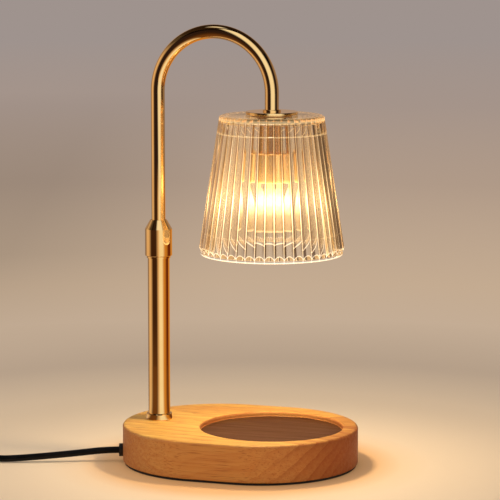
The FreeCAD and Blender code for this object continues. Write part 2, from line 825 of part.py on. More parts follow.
def lamp_holder():
    """Ceramic twist-lock holder with its two curved slots and two screw holes."""
    body = cylinder(holder_radius, holder_bottom, holder_top, shade_x)
    body = rounded(body, edge_break, holder_bottom)
    holes = [cylinder(holder_screw_radius + loose_fit, holder_bottom - cut_over, holder_top + cut_over, x, y)
             for x, y in screw_places()]
    heads = [cylinder(holder_head_radius + loose_fit, holder_bottom - cut_over,
                      holder_bottom + holder_head_height + loose_fit, x, y) for x, y in screw_places()]
    return body.cut(pin_sockets() + holes + heads)


def holder_screws():
    top = neck_bottom + holder_screw_bite
    seat = holder_bottom + holder_head_height + loose_fit
    return [cylinder(holder_screw_radius, seat, top, x, y)
            .fuse(cylinder(holder_head_radius, seat - holder_head_height, seat, x, y)).removeSplitter()
            for x, y in screw_places()]


# ---- bulb -----------------------------------------------------------------------------------------
def pin_places():
    return [(shade_x, side * pin_offset) for side in (-1, 1)]


def bulb_base():
    base = cylinder(bulb_neck_radius, reflector_top, bulb_top, shade_x)
    base = rounded(base, edge_break, bulb_top)
    cavity = cylinder(capsule_radius + loose_fit, reflector_top - cut_over, capsule_top, shade_x)
    pins = [cylinder(pin_radius, bulb_top - pin_root, bulb_top + cut_over, x, y) for x, y in pin_places()]
    return base.cut([cavity] + pins)


def bulb_pins():
    """Two stepped pins whose heads lock behind the holder's slots."""
    tip = bulb_top + pin_length
    return [cylinder(pin_radius, bulb_top - pin_root, tip, x, y)
            .fuse(cylinder(pin_head_radius, tip - pin_head_height, tip, x, y)) for x, y in pin_places()]


def holder_contacts():
    """Spring strips in the roof of each slot, over the pin heads."""
    high = holder_bottom + pin_socket_depth
    return [Part.makeBox(contact_width, contact_width, contact_thickness,
                         Vector(x - contact_width / 2, y - contact_width / 2, high - contact_thickness))
            for x, y in pin_places()]


def reflector_curve(offset):
    """Points on the reflector's ellipse quarter, moved inwards by offset: neck, middle, rim."""
    deep = reflector_top - (bulb_face + bulb_rim_height)
    wide = bulb_face_radius - bulb_neck_radius
    points = []
    for turn in (0.0, 45.0, 90.0):
        a = math.radians(turn)
        points.append(Vector(bulb_neck_radius + wide * math.sin(a) - offset, 0,
                             bulb_face + bulb_rim_height + deep * math.cos(a)))
    return points


def bulb_reflector():
    """Pressed reflector: a bowl that flares from the bulb's neck to a short straight rim."""
    neck, middle, rim = reflector_curve(0)
    neck_in, middle_in, rim_in = reflector_curve(bulb_glass)
    lip = Vector(bulb_face_radius, 0, bulb_face)
    lip_in = Vector(bulb_face_radius - bulb_glass, 0, bulb_face)
    return turned_edges([Part.Arc(neck, middle, rim).toShape(), line(rim, lip), line(lip, lip_in),
                         line(lip_in, rim_in), Part.Arc(rim_in, middle_in, neck_in).toShape(),
                         line(neck_in, neck)], shade_x)


def bulb_lens():
    radius = bulb_face_radius - bulb_glass - running_fit
    low = bulb_face + lens_sink
    return cylinder(radius, low, low + lens_thickness, shade_x)


def bulb_capsule():
    """Closed quartz tube with a round tip, hollow inside."""
    outer = rounded(cylinder(capsule_radius, capsule_bottom, capsule_top, shade_x),
                    capsule_radius * capsule_tip, capsule_bottom)
    inner_radius = capsule_radius - capsule_glass
    inner = cylinder(inner_radius, capsule_bottom + capsule_glass, capsule_top - capsule_seat, shade_x)
    inner = rounded(inner, inner_radius * capsule_tip, capsule_bottom + capsule_glass)
    return outer.cut(inner)


def bulb_filament():
    """A flat zigzag of fine wire between two lead-ins, standing for the coiled filament."""
    high = capsule_top - capsule_seat
    low = high - filament_length
    step = filament_length / filament_turns
    points = [Vector(filament_radius * (-1) ** i, 0, low + step * i) for i in range(filament_turns)]
    lead_in = [Vector(filament_radius, 0, high)]
    lead_out = [Vector(-filament_radius, 0, high), Vector(-filament_radius * 2, 0, low + step / 2)]
    path, _ = cord_path(lead_out + points + lead_in)
    wire = swept(path, filament_wire, lead_out[0], lead_out[1] - lead_out[0])
    wire.translate(Vector(shade_x, 0, 0))
    return wire


# ---- in-line dimmer -------------------------------------------------------------------------------
def dimmer_posts(low, high, radius):
    """Upright cylinders at the two screws, at opposite corners of the dimmer."""
    return [cylinder(radius, low, high, dimmer_x + side * dimmer_screw_x, dimmer_y + side * dimmer_screw_y)
            for side in (-1, 1)]


def dimmer_ends(shape):
    """A shape drawn along +X from the origin, carried to both ends of the dimmer and pointing outwards."""
    reach = dimmer_length / 2
    return [along(shape, Vector(dimmer_x + reach, dimmer_y, dimmer_middle), 0),
            along(shape, Vector(dimmer_x - reach, dimmer_y, dimmer_middle), 180)]


def dimmer_reliefs():
    """Moulded sleeves on the cord: a root in the housing's end, then a grooved taper."""
    tip_radius = cord_radius + relief_tip_wall
    body = Part.makeCylinder(relief_radius, relief_root, Vector(-relief_root, 0, 0), Vector(1, 0, 0))
    taper = Part.makeCone(relief_radius, tip_radius, relief_length, Vector(0, 0, 0), Vector(1, 0, 0))
    pitch = relief_length / (relief_grooves + 1)
    grooves = []
    for i in range(relief_grooves):
        middle = pitch * (i + 1)
        floor = relief_radius + (tip_radius - relief_radius) * middle / relief_length - relief_groove_depth
        low = Vector(middle - relief_groove_width / 2, 0, 0)
        ring = Part.makeCylinder(relief_radius + cut_over, relief_groove_width, low, Vector(1, 0, 0))
        grooves.append(ring.cut(Part.makeCylinder(floor, relief_groove_width, low, Vector(1, 0, 0))))
    return dimmer_ends(body.fuse(taper).removeSplitter().cut(grooves))


def dimmer_end_holes():
    depth = relief_root + cut_over
    hole = Part.makeCylinder(relief_radius + running_fit, depth, Vector(-relief_root, 0, 0), Vector(1, 0, 0))
    return dimmer_ends(hole)


def dimmer_hollow(low, high):
    length = dimmer_length - 2 * dimmer_end_wall
    room = slab(length, dimmer_width - 2 * dimmer_wall, low, high, dimmer_x, dimmer_y)
    return room.cut(dimmer_posts(low, high, dimmer_post_radius))


def dimmer_lower_shell():
    """Lower half of the housing, with two posts that the screws pass through."""
    shell = slab(dimmer_length, dimmer_width, 0, dimmer_middle, dimmer_x, dimmer_y)
    shell = rounded(shell, dimmer_bottom_round, 0)
    screw_ways = dimmer_posts(-cut_over, dimmer_middle + cut_over, dimmer_screw_radius + running_fit)
    heads = dimmer_posts(-cut_over, dimmer_head_height, dimmer_head_radius + running_fit)
    return shell.cut([dimmer_hollow(dimmer_wall, dimmer_middle)] + dimmer_end_holes() + screw_ways + heads)


def dimmer_upper_shell():
    """Upper half of the housing, with a well for the dial and two tapped posts."""
    shell = slab(dimmer_length, dimmer_width, dimmer_middle, dimmer_height, dimmer_x, dimmer_y)
    shell = rounded(shell, dimmer_top_round, dimmer_height)
    well = cylinder(dial_radius + moving_gap, dimmer_height - dial_well_depth, dimmer_height + cut_over,
                    dimmer_x, dimmer_y)
    shaft_hole = cylinder(dial_shaft_radius + running_fit, dimmer_roof - cut_over, dimmer_height,
                          dimmer_x, dimmer_y)
    taps = dimmer_posts(dimmer_middle - cut_over, dimmer_middle + dimmer_screw_bite, dimmer_screw_radius)
    hollow = dimmer_hollow(dimmer_middle, dimmer_roof)
    return shell.cut([hollow, well, shaft_hole] + dimmer_end_holes() + taps)


def dimmer_dial():
    """Notched thumb dial with its shaft reaching down into the potentiometer."""
    low = dimmer_height - dial_well_depth + moving_gap
    dial = rounded(cylinder(dial_radius, low, low + dial_height), dial_edge, low + dial_height)
    notches = []
    for i in range(dial_notches):
        turn = 2 * math.pi * i / dial_notches
        notches.append(cylinder(dial_notch_radius, low - cut_over, low + dial_height + cut_over,
                                dial_radius * math.cos(turn), dial_radius * math.sin(turn)))
    shaft = cylinder(dial_shaft_radius, pot_top - shaft_bite, low)
    dial = dial.cut(notches).fuse(shaft)
    dial.translate(Vector(dimmer_x, dimmer_y, 0))
    return dial


def dimmer_pot():
    body = cylinder(pot_radius, pot_bottom, pot_top, dimmer_x, dimmer_y)
    return body.cut(cylinder(dial_shaft_radius + running_fit, pot_top - shaft_bite - moving_gap,
                             pot_top + cut_over, dimmer_x, dimmer_y))


def dimmer_board():
    board = Part.makeBox(board_length, board_width, board_thickness,
                         Vector(dimmer_x - board_length / 2, dimmer_y - board_width / 2, board_bottom))
    feet = [Part.makeBox(board_foot, board_width, board_standoff,
                         Vector(dimmer_x + side * board_foot_offset - board_foot / 2,
                                dimmer_y - board_width / 2, dimmer_wall)) for side in (-1, 1)]
    return board.fuse(feet).removeSplitter()


def dimmer_screws():
    shanks = dimmer_posts(0, dimmer_middle + dimmer_screw_bite, dimmer_screw_radius)
    heads = dimmer_posts(0, dimmer_head_height, dimmer_head_radius)
    return [shank.fuse(head) for shank, head in zip(shanks, heads)]


# ---- cord routes ----------------------------------------------------------------------------------
relief_tip = dimmer_length / 2 + relief_length

lamp_route = [exit_face,
              exit_face + exit_way * cord_lead,
              Vector(-158, -47.2, 6.0),
              Vector(-189, -60.2, cord_on_floor),
              Vector(-205.3, -64.3, 4.0),
              Vector(-219, -66.2, 7.4),
              Vector(-233, dimmer_y, dimmer_middle),
              Vector(dimmer_x + relief_tip, dimmer_y, dimmer_middle)]

supply_route = [Vector(dimmer_x - relief_tip, dimmer_y, dimmer_middle),
                Vector(-370, dimmer_y, dimmer_middle),
                Vector(-381.8, -63.9, 8.4),
                Vector(-392.5, -58.5, 5.9),
                Vector(-401, -50, 3.9),
                Vector(-406.4, -39.3, cord_on_floor),
                Vector(-409.3, -25.6, cord_on_floor),
                Vector(-410.6, 0.6, cord_on_floor),
                  Vector(coil_x - coil_low_outer, coil_y, cord_on_floor)]

tail_route = [Vector(coil_x, coil_y + coil_high_outer, top_turn),
              Vector(-353, 66.9, 8.7),
              Vector(-337.1, 64.8, 8.1),
              Vector(-326.3, 59.7, 6.7),
              Vector(-317.5, 51.5, 5.3),
              Vector(-311.7, 41, 5.2),
              Vector(plug_x, 29.2, plug_middle),
              Vector(plug_x, plug_y, plug_middle)]


def cord_coil():
    """The outer shape of the wound cord: a ring that narrows to its upper layer, with rounded edges."""
    wide = coil_low_outer + half_pitch - coil_turn_radius
    narrow = coil_high_outer + half_pitch * math.tan(math.radians(30)) - coil_turn_radius
    shoulder = cord_on_floor + half_pitch * math.tan(math.radians(15))
    top = top_turn + half_pitch
    outer_side = [(wide, cord_floor_gap), (wide, shoulder), (narrow, top)]
    inner_side = [(-across, z) for across, z in reversed(outer_side)]
    ring = turned([(coil_turn_radius + across, z) for across, z in outer_side + inner_side])
    ring = rounded(ring, coil_edge_round, cord_floor_gap)
    ring = rounded(ring, coil_edge_round, top)
    ring.translate(Vector(coil_x, coil_y, 0))
    return ring


# ---- plug, drawn along +X from the end of the cord and then turned to -Y -------------------------
plug_face = plug_boot_length + plug_body_length


def plug_frame(shape):
    return along(shape, Vector(plug_x, plug_y, plug_middle), -90)


def blades():
    """The two flat blades, with their tips bevelled on both faces."""
    solids = []
    for side in (-1, 1):
        near = side * blade_spacing / 2 - blade_thickness / 2
        blade = Part.makeBox(blade_length + blade_root, blade_thickness, blade_width,
                             Vector(plug_face - blade_root, near, -blade_width / 2))
        upright = [e for e in blade.Edges if e.BoundBox.ZLength > blade_thickness]
        solids.append(blade.makeChamfer(blade_bevel, [e for e in upright if e.BoundBox.XMin > plug_face]))
    return solids


def plug_body():
    """Moulded two-blade plug: a tapered boot that swells into a flat rounded grip."""
    boot = Part.makeCone(cord_radius + boot_tip_wall, plug_boot_radius, plug_boot_length + boot_root,
                         Vector(0, 0, 0), Vector(1, 0, 0))
    grip = Part.makeBox(plug_body_length, plug_body_width, plug_body_height,
                        Vector(plug_boot_length, -plug_body_width / 2, -plug_body_height / 2))
    soft_edges = [e for e in grip.Edges if e.BoundBox.XMin < plug_face - cut_over]
    grip = grip.makeFillet(plug_body_round, soft_edges)
    return plug_frame(grip.fuse(boot).cut(blades()))


def plug_blades():
    return [plug_frame(blade) for blade in blades()]


# ---- write every node ----------------------------------------------------------------------------
os.makedirs("parts", exist_ok=True)

save("wood_base", wood_base())
save("base_pad", base_pad())
save("cover_plate", cover_plate())
save("cover_screws", *cover_screws())
save("cord_grommet", cord_grommet())
save("inner_cord", inner_cord())
save("cord_clamp", cord_clamp())
save("clamp_screws", *clamp_screws())
save("base_wires", *base_wires())

save("pole_nut", pole_nut())
save("pole_washer", pole_washer())
save("pole_nipple", pole_nipple())
save("tube_plug", tube_plug())
save("foot_ring", foot_ring())
save("lower_tube", lower_tube())
save("tube_ferrule", tube_ferrule())
save("collet", collet())
save("lock_collar", lock_collar())

save("guide_bush", guide_bush())
save("bush_clips", *bush_clips())
save("arm_tube", arm_tube())
save("arm_wires", *arm_wires())

save("end_ring", end_ring())
save("shade_disc", shade_disc())
save("shade_nipple", shade_nipple())
save("upper_gasket", gasket(shade_top, upper_gasket_thickness))
save("glass_shade", glass_shade())
save("lower_gasket", gasket(neck_top, lower_gasket_thickness))
save("holder_neck", holder_neck())
save("holder_cup", holder_cup())
save("lamp_holder", lamp_holder())
save("holder_screws", *holder_screws())
save("holder_contacts", *holder_contacts())

save("bulb_base", bulb_base())
save("bulb_pins", *bulb_pins())
save("bulb_reflector", bulb_reflector())
save("bulb_lens", bulb_lens())
save("bulb_capsule", bulb_capsule())
save("bulb_filament", bulb_filament())

save("lamp_cord", cord_tube("lamp_cord", lamp_route))
save("dimmer_lower_shell", dimmer_lower_shell())
save("dimmer_upper_shell", dimmer_upper_shell())
save("dimmer_dial", dimmer_dial())
save("dimmer_reliefs", *dimmer_reliefs())
save("dimmer_pot", dimmer_pot())
save("dimmer_board", dimmer_board())
save("dimmer_screws", *dimmer_screws())
save("supply_cord", cord_tube("supply_cord", supply_route))
save("cord_coil", cord_coil())
save("cord_tail", cord_tube("cord_tail", tail_route))
save("plug_body", plug_body())
save("plug_blades", *plug_blades())
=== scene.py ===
import json
import math

import bpy
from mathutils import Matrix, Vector


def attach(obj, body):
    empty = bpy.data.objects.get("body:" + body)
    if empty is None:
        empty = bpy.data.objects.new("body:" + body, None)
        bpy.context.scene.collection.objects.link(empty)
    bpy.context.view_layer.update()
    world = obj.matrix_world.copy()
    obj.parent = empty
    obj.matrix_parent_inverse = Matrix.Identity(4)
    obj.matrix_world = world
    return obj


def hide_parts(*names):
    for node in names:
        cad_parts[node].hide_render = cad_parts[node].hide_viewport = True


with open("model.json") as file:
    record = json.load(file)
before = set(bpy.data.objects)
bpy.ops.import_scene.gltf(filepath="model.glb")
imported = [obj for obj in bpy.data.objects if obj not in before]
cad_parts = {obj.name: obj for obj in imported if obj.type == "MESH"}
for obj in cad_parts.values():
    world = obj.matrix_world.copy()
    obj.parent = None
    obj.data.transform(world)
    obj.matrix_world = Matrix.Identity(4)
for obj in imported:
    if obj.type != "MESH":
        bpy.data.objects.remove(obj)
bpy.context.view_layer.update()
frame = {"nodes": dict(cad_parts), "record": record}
scene = bpy.context.scene
MM = 0.001

# Sizes shared with the solids, in millimetres.
POLE_X = -74.5
WOOD_TOP = 34.0
RECESS_FLOOR = 29.5
RECESS_RADIUS = 61.5
SHADE_X = 28.5
SHADE_BOTTOM = 184.3
SHADE_TOP = 303.8
SHADE_FOOT_RADIUS = 63.1
SHADE_TOP_RADIUS = 44.6
SHADE_SLOPE = (SHADE_FOOT_RADIUS - SHADE_TOP_RADIUS) / (SHADE_TOP - SHADE_BOTTOM)
FLUTES = 46
BULB_FACE = 206.05
CORD_DIAMETER = 5.8


# ---- camera -----------------------------------------------------------------
CAMERA_AZIMUTH = math.radians(18.0)


def add_camera():
    """A long lens that looks a little down; place and lens fit the lamp's outlines in the photograph."""
    elevation = math.radians(8.13)
    back = Vector((math.sin(CAMERA_AZIMUTH) * math.cos(elevation),
                   -math.cos(CAMERA_AZIMUTH) * math.cos(elevation), math.sin(elevation)))
    data = bpy.data.cameras.new("camera")
    data.sensor_width = 36.0
    data.lens = 186.8
    data.clip_start = 0.1
    data.clip_end = 60.0
    camera = bpy.data.objects.new("camera", data)
    camera.rotation_mode = "QUATERNION"
    camera.location = (0.6906, -2.0978, 0.5020)
    camera.rotation_quaternion = (-back).to_track_quat("-Z", "Y")
    scene.collection.objects.link(camera)
    scene.camera = camera


add_camera()


# ---- cords ------------------------------------------------------------------
def smooth_cord(name, route):
    """One open smooth curve whose control points are the route's points and carry the cord's radius."""
    data = bpy.data.curves.new(name, "CURVE")
    data.dimensions = "3D"
    data.resolution_u = 8
    data.bevel_depth = 1.0
    data.bevel_resolution = 8
    data.use_fill_caps = True
    spline = data.splines.new("NURBS")
    spline.points.add(len(route) - 1)
    for point, place in zip(spline.points, route):
        point.co = (place[0] * MM, place[1] * MM, place[2] * MM, 1)
        point.radius = CORD_DIAMETER / 2 * MM
    spline.order_u = 3
    spline.use_endpoint_u = True
    cord = bpy.data.objects.new(name, data)
    scene.collection.objects.link(cord)
    return cord


CORD_ON_FLOOR = 3.0
COIL_CENTRE = (-366.05, 26.0)
COIL_RADIUS = 34.8
TURN_PITCH = 5.9
STACK_RISE = 5.11    # a turn that lies in the groove between two others is this much higher
# Radius and height of each turn.
COIL_TURNS = ([(COIL_RADIUS + TURN_PITCH * (1.5 - turn), CORD_ON_FLOOR) for turn in range(4)]
              + [(COIL_RADIUS + TURN_PITCH * (turn - 1), CORD_ON_FLOOR + STACK_RISE) for turn in range(3)])
TURNS_IN_ALL = 6.25
POINTS_PER_TURN = 16
MOVES_OVER_AT = 0.55    # share of a turn after which the cord goes over to the next turn


def coil_points():
    """Clockwise turns seen from above: four inwards on the floor, then outwards in the grooves on top."""
    points = []
    spread = 1 / math.cos(math.pi / POINTS_PER_TURN)
    for i in range(1, int(TURNS_IN_ALL * POINTS_PER_TURN)):
        turn = i // POINTS_PER_TURN
        share = i / POINTS_PER_TURN - turn
        ease = max(0.0, (share - MOVES_OVER_AT) / (1 - MOVES_OVER_AT))
        ease = ease * ease * (3 - 2 * ease)
        radius, height = COIL_TURNS[turn]
        next_radius, next_height = COIL_TURNS[min(turn + 1, len(COIL_TURNS) - 1)]
        if next_height > height:
            # The innermost turn rolls up into the groove beside it.
            roll = math.radians(180 - 120 * ease)
            radius = COIL_TURNS[turn - 1][0] - TURN_PITCH * ease + TURN_PITCH * math.cos(roll)
            height += TURN_PITCH * math.sin(roll)
        else:
            radius += (next_radius - radius) * ease
        angle = math.pi - 2 * math.pi * i / POINTS_PER_TURN
        points.append((COIL_CENTRE[0] + radius * spread * math.cos(angle),
                       COIL_CENTRE[1] + radius * spread * math.sin(angle), height))
    return points


# The cord leaves the grommet along a ray from the centre of the base's left half circle.
EXIT_TURN = math.radians(198.0)
EXIT_WAY = Vector((math.cos(EXIT_TURN), math.sin(EXIT_TURN), 0))
EXIT_FACE = Vector((-19.0, 0, 9.8)) + EXIT_WAY * 87.4
EXIT_LEAD = EXIT_FACE + EXIT_WAY * 12
LAMP_ROUTE = [tuple(EXIT_FACE), tuple(EXIT_LEAD), (-141, -42.2, 6.8), (-189, -61.2, 3.0),
              (-205.3, -65.0, 3.2), (-219, -66.2, 7.4), (-233, -66, 10), (-246, -66, 10)]
SUPPLY_ROUTE = [(-358, -66, 10), (-370, -66, 10), (-381.8, -63.9, 8.4), (-392.5, -58.5, 5.9),
                (-401, -50, 3.9), (-406.4, -39.3, 3.0), (-409.3, -25.6, 3.0), (-410.6, 0.6, 3.0),
                (-409.7, 26, 3.0)]
TAIL_ROUTE = [(-366.05, 66.7, 8.11), (-353, 66.9, 8.7), (-337.1, 64.8, 8.1), (-326.3, 59.7, 6.7),
              (-317.5, 51.5, 5.3), (-311.7, 41, 5.2), (-309.6, 29.2, 6.5), (-309.6, 17.2, 6.5)]

lamp_cord = smooth_cord("lamp_flex", LAMP_ROUTE)
supply_flex = smooth_cord("supply_flex", SUPPLY_ROUTE + coil_points() + TAIL_ROUTE)
for piece, replaced in ((lamp_cord, ("lamp_cord",)),
                        (supply_flex, ("supply_cord", "cord_coil", "cord_tail"))):
    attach(piece, "base")
    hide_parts(*replaced)


# ---- materials --------------------------------------------------------------
class Nodes:
    """The shader nodes of a material or of the world, with short ways to add more."""

    def __init__(self, owner, output):
        owner.use_nodes = True
        self.tree = owner.node_tree
        self.tree.nodes.clear()
        self.out = self.node(output)
        self.coords = self.node("TexCoord")

    def join(self, a, b):
        self.tree.links.new(a, b)

    def put(self, value, socket):
        """Give a socket a constant, or join another node's output to it."""
        if isinstance(value, bpy.types.NodeSocket):
            self.join(value, socket)
        else:
            socket.default_value = value

    def node(self, kind, **inputs):
        made = self.tree.nodes.new("ShaderNode" + kind)
        for key, value in inputs.items():
            self.put(value, made.inputs[key.replace("_", " ")])
        return made

    def space(self, scale=(1, 1, 1), turn=(0, 0, 0), move=(0, 0, 0)):
        """Object coordinates in metres, stretched, turned and moved."""
        return self.node("Mapping", Vector=self.coords.outputs["Object"], Scale=scale, Rotation=turn,
                         Location=move).outputs[0]

    def parts(self, vector):
        """The X, Y and Z of a vector."""
        return self.node("SeparateXYZ", Vector=vector).outputs[:3]

    def height(self):
        """Height over the floor in metres."""
        return self.parts(self.coords.outputs["Object"])[2]

    def distance(self, x, y, centre=(0, 0)):
        """How far x and y are from a centre, in metres."""
        made = self.node("VectorMath")
        made.operation = "DISTANCE"
        self.join(self.node("CombineXYZ", X=x, Y=y).outputs[0], made.inputs[0])
        made.inputs[1].default_value = (*centre, 0)
        return made.outputs["Value"]

    def noise(self, scale, detail=3.0, stretch=(1, 1, 1)):
        return self.node("TexNoise", Vector=self.space(stretch), Scale=scale, Detail=detail).outputs[0]

    def span(self, factor, low, high, low_out=0.0, high_out=1.0):
        """A value that runs from low_out to high_out while the factor runs from low to high."""
        made = self.node("MapRange", Value=factor)
        for socket, value in zip(made.inputs[1:5], (low, high, low_out, high_out)):
            socket.default_value = value
        return made.outputs[0]

    def levels(self, factor, stops):
        """A value that runs straight from stop to stop."""
        level = stops[0][1]
        for (low, before), (high, after) in zip(stops, stops[1:]):
            level = self.maths("ADD", level, self.span(factor, low, high, 0.0, after - before))
        return level

    def maths(self, kind, a, b=0.0):
        made = self.node("Math")
        made.operation = kind
        self.put(a, made.inputs[0])
        self.put(b, made.inputs[1])
        return made.outputs[0]

    def blend(self, factor, a, b, kind="MIX"):
        """Colour a where the factor is 0, colour b where it is 1."""
        made = self.node("Mix")
        made.data_type = "RGBA"
        made.blend_type = kind
        for index, value in ((0, factor), (6, a), (7, b)):
            self.put((*value, 1) if isinstance(value, tuple) else value, made.inputs[index])
        return made.outputs[2]

    def pick(self, factor, a, b):
        """Value a where the factor is 0, value b where it is 1."""
        made = self.node("Mix")
        for index, value in ((0, factor), (2, a), (3, b)):
            self.put(value, made.inputs[index])
        return made.outputs[0]

    def ramp(self, factor, stops):
        """A colour that runs from stop to stop."""
        made = self.node("ValToRGB")
        self.join(factor, made.inputs[0])
        ramp = made.color_ramp
        while len(ramp.elements) < len(stops):
            ramp.elements.new(0.5)
        for element, (place, colour) in zip(ramp.elements, stops):
            element.position = place
            element.color = (*colour, 1)
        return made.outputs[0]

    def looked_at(self):
        """1 for rays from the camera and those that metal and glass send on, 0 for rays that gather light."""
        path = self.node("LightPath").outputs
        sent_on = self.maths("MAXIMUM", path["Is Glossy Ray"], path["Is Transmission Ray"])
        return self.maths("MAXIMUM", path["Is Camera Ray"], sent_on)

    def show(self, shader):
        self.join(shader.outputs[0], self.out.inputs["Surface"])

    def show_mix(self, share, a, b):
        """Show shader a where the share is 0, shader b where it is 1."""
        made = self.node("MixShader")
        for socket, source in zip(made.inputs, (share, a.outputs[0], b.outputs[0])):
            self.join(source, socket)
        self.show(made)


class Finish(Nodes):
    """A procedural material round one Principled shader."""

    def __init__(self, name, **constants):
        self.made = bpy.data.materials.new(name)
        super().__init__(self.made, "OutputMaterial")
        self.shader = self.node("BsdfPrincipled", **constants)
        self.show(self.shader)

    def use(self, socket, value):
        self.join(value, self.shader.inputs[socket])

    def bump(self, height, depth, strength=1.0, below=None):
        """Bump of a real depth in metres, on top of another one if there is one."""
        made = self.node("Bump", Height=height, Strength=strength, Distance=depth)
        if below is not None:
            self.join(below, made.inputs["Normal"])
        return made.outputs[0]


def srgb(r, g, b):
    """A colour written as 0-255 screen values, as linear light."""
    return tuple((v / 255 / 12.92) if v <= 10.31 else ((v / 255 + 0.055) / 1.055) ** 2.4 for v in (r, g, b))


def above(start, stops):
    """Stops given in millimetres above a start, as heights in metres."""
    return tuple(((start + rise) * MM, value) for rise, value in stops)


def brushed(name, colour, dark, roughness):
    """Polished or brushed metal: slow tone changes, fine streaks along Z and small scuffs."""
    f = Finish(name, Metallic=1.0)
    cloud = f.noise(28.0, 4.0)
    f.use("Base Color", f.blend(f.span(cloud, 0.35, 0.75), colour, dark))
    streaks = f.noise(900.0, 2.0, (1, 1, 0.05))
    wear = f.noise(140.0, 5.0)
    f.use("Roughness", f.maths("ADD", f.span(wear, 0.3, 0.8, roughness * 0.75, roughness * 1.35),
                               f.span(streaks, 0.3, 0.8, 0.0, roughness * 0.3)))
    f.use("Normal", f.bump(streaks, 0.000004, 0.6))
    return f


def metal(name, colour, dark, roughness):
    """The material of a brushed finish."""
    return brushed(name, colour, dark, roughness).made


def plastic(name, colour, lift, roughness, grain=1400.0, depth=0.00002):
    """Moulded plastic, rubber or ceramic with a fine surface texture."""
    f = Finish(name)
    cloud = f.noise(60.0, 4.0)
    f.use("Base Color", f.blend(f.span(cloud, 0.35, 0.75), colour, lift))
    texture = f.noise(grain, 2.0)
    f.use("Roughness", f.span(f.noise(220.0, 4.0), 0.3, 0.75, roughness - 0.06, roughness + 0.08))
    f.use("Normal", f.bump(texture, depth, 0.7))
    return f.made


def growth_rings(f):
    """Rings about a pith that lies low behind the base and wanders a little, from 0 early to 1 late wood."""
    wander = f.noise(9.0, 3.0, (0.35, 1, 1))
    shift = f.node("CombineXYZ")
    for axis in ("Y", "Z"):
        f.join(f.span(wander, 0.3, 0.7, -0.006, 0.006), shift.inputs[axis])
    bend = f.node("VectorMath")
    bend.operation = "ADD"
    f.join(f.space(), bend.inputs[0])
    f.join(shift.outputs[0], bend.inputs[1])
    tilt = f.node("Mapping", Vector=bend.outputs[0], Location=(0, -0.052, 0.085),
                  Rotation=(0, math.radians(4), math.radians(5)))
    rings = f.node("TexWave", Vector=tilt.outputs[0], Scale=38.0, Distortion=1.6, Detail=2.0,
                   Detail_Scale=1.5)
    rings.wave_type = "RINGS"
    rings.rings_direction = "X"
    rings.wave_profile = "SAW"
    return f.maths("POWER", rings.outputs["Fac"], 2.6)


def oiled_wood():
    """Oiled light wood, fibres along X, fine pores, darker ends; painted shade on the sides, painted shadow
    in the recess.
    """
    f = Finish("oiled_wood", Specular_IOR_Level=0.18)
    x, y, height = f.parts(f.coords.outputs["Object"])
    facing_x, _, facing_up = f.parts(f.coords.outputs["Normal"])
    upward = f.maths("ABSOLUTE", facing_up)
    late_wood = growth_rings(f)
    fibres = f.noise(420.0, 4.0, (0.03, 1, 1))
    fine = f.noise(1300.0, 2.0, (0.035, 1, 1))
    cloud = f.noise(16.0, 3.0, (0.4, 1, 1))
    light, middle, dark = srgb(231, 188, 98), srgb(218, 163, 80), srgb(186, 114, 52)
    tone = f.blend(f.span(cloud, 0.3, 0.7), light, middle)
    tone = f.blend(f.maths("MULTIPLY", late_wood, f.span(upward, 0.2, 0.8, 0.38, 0.5)), tone, dark)
    tone = f.blend(f.span(fibres, 0.40, 0.68, 0.0, 0.75), tone, f.blend(0.6, middle, dark))
    pores = f.span(fine, 0.56, 0.66)
    tone = f.blend(f.maths("MULTIPLY", pores, 0.6), tone, srgb(118, 62, 30))
    # The upright sides are painted browner, as shade beside the lit top; where they cut across the fibres,
    # the end grain is darker still.
    tone = f.blend(f.span(upward, 0.6, 0.85, 0.55, 0.0), tone, srgb(188, 110, 60))
    end_grain = f.maths("POWER", f.maths("ABSOLUTE", facing_x), 2.0)
    tone = f.blend(f.maths("MULTIPLY", end_grain, 0.75), tone, srgb(146, 72, 30))
    # Darker towards the right-hand end, with an edge that follows the rings.
    toward_end = f.maths("ADD", x, f.maths("MULTIPLY", late_wood, 0.02))
    darker_end = f.maths("MULTIPLY", f.span(toward_end, 0.068, 0.108), f.span(fibres, 0.2, 0.7, 0.55, 0.9))
    tone = f.blend(darker_end, tone, srgb(140, 68, 28))
    # The recess floor is painted darker: a painted shadow of a candle jar standing in it.
    low = f.maths("LESS_THAN", height, (RECESS_FLOOR + 0.8) * MM)
    off_centre = f.distance(x, y, (SHADE_X * MM, 0))
    inside = f.maths("LESS_THAN", off_centre, (RECESS_RADIUS - 0.3) * MM)
    faces_up = f.maths("GREATER_THAN", facing_up, 0.5)
    painted_shadow_mask = f.maths("MULTIPLY", f.maths("MULTIPLY", low, inside), faces_up)
    recess_shadow_tone = f.blend(f.span(fibres, 0.3, 0.8), srgb(74, 34, 14), srgb(52, 24, 10))
    f.use("Base Color", f.blend(f.maths("MULTIPLY", painted_shadow_mask, 0.95), tone, recess_shadow_tone))
    f.use("Roughness", f.span(fibres, 0.3, 0.8, 0.42, 0.62))
    f.use("Normal", f.bump(pores, -0.00006, 0.6, f.bump(fibres, 0.00005, 0.5)))
    return f.made


def sheath(name):
    """Satin black cord sheath with fine ribs along it."""
    f = Finish(name, Specular_IOR_Level=0.15)
    cloud = f.noise(90.0, 4.0)
    f.use("Base Color", f.blend(f.span(cloud, 0.4, 0.75), (0.002, 0.002, 0.002), (0.006, 0.005, 0.005)))
    f.use("Roughness", f.span(f.noise(500.0, 3.0), 0.3, 0.75, 0.30, 0.46))
    around = f.parts(f.coords.outputs["UV"])[1]
    ribs = f.maths("ABSOLUTE", f.maths("SINE", f.maths("MULTIPLY", around, 10 * math.pi)))
    f.use("Normal", f.bump(ribs, 0.0002, 0.8, f.bump(f.noise(1800.0, 2.0), 0.00001, 0.5)))
    return f.made


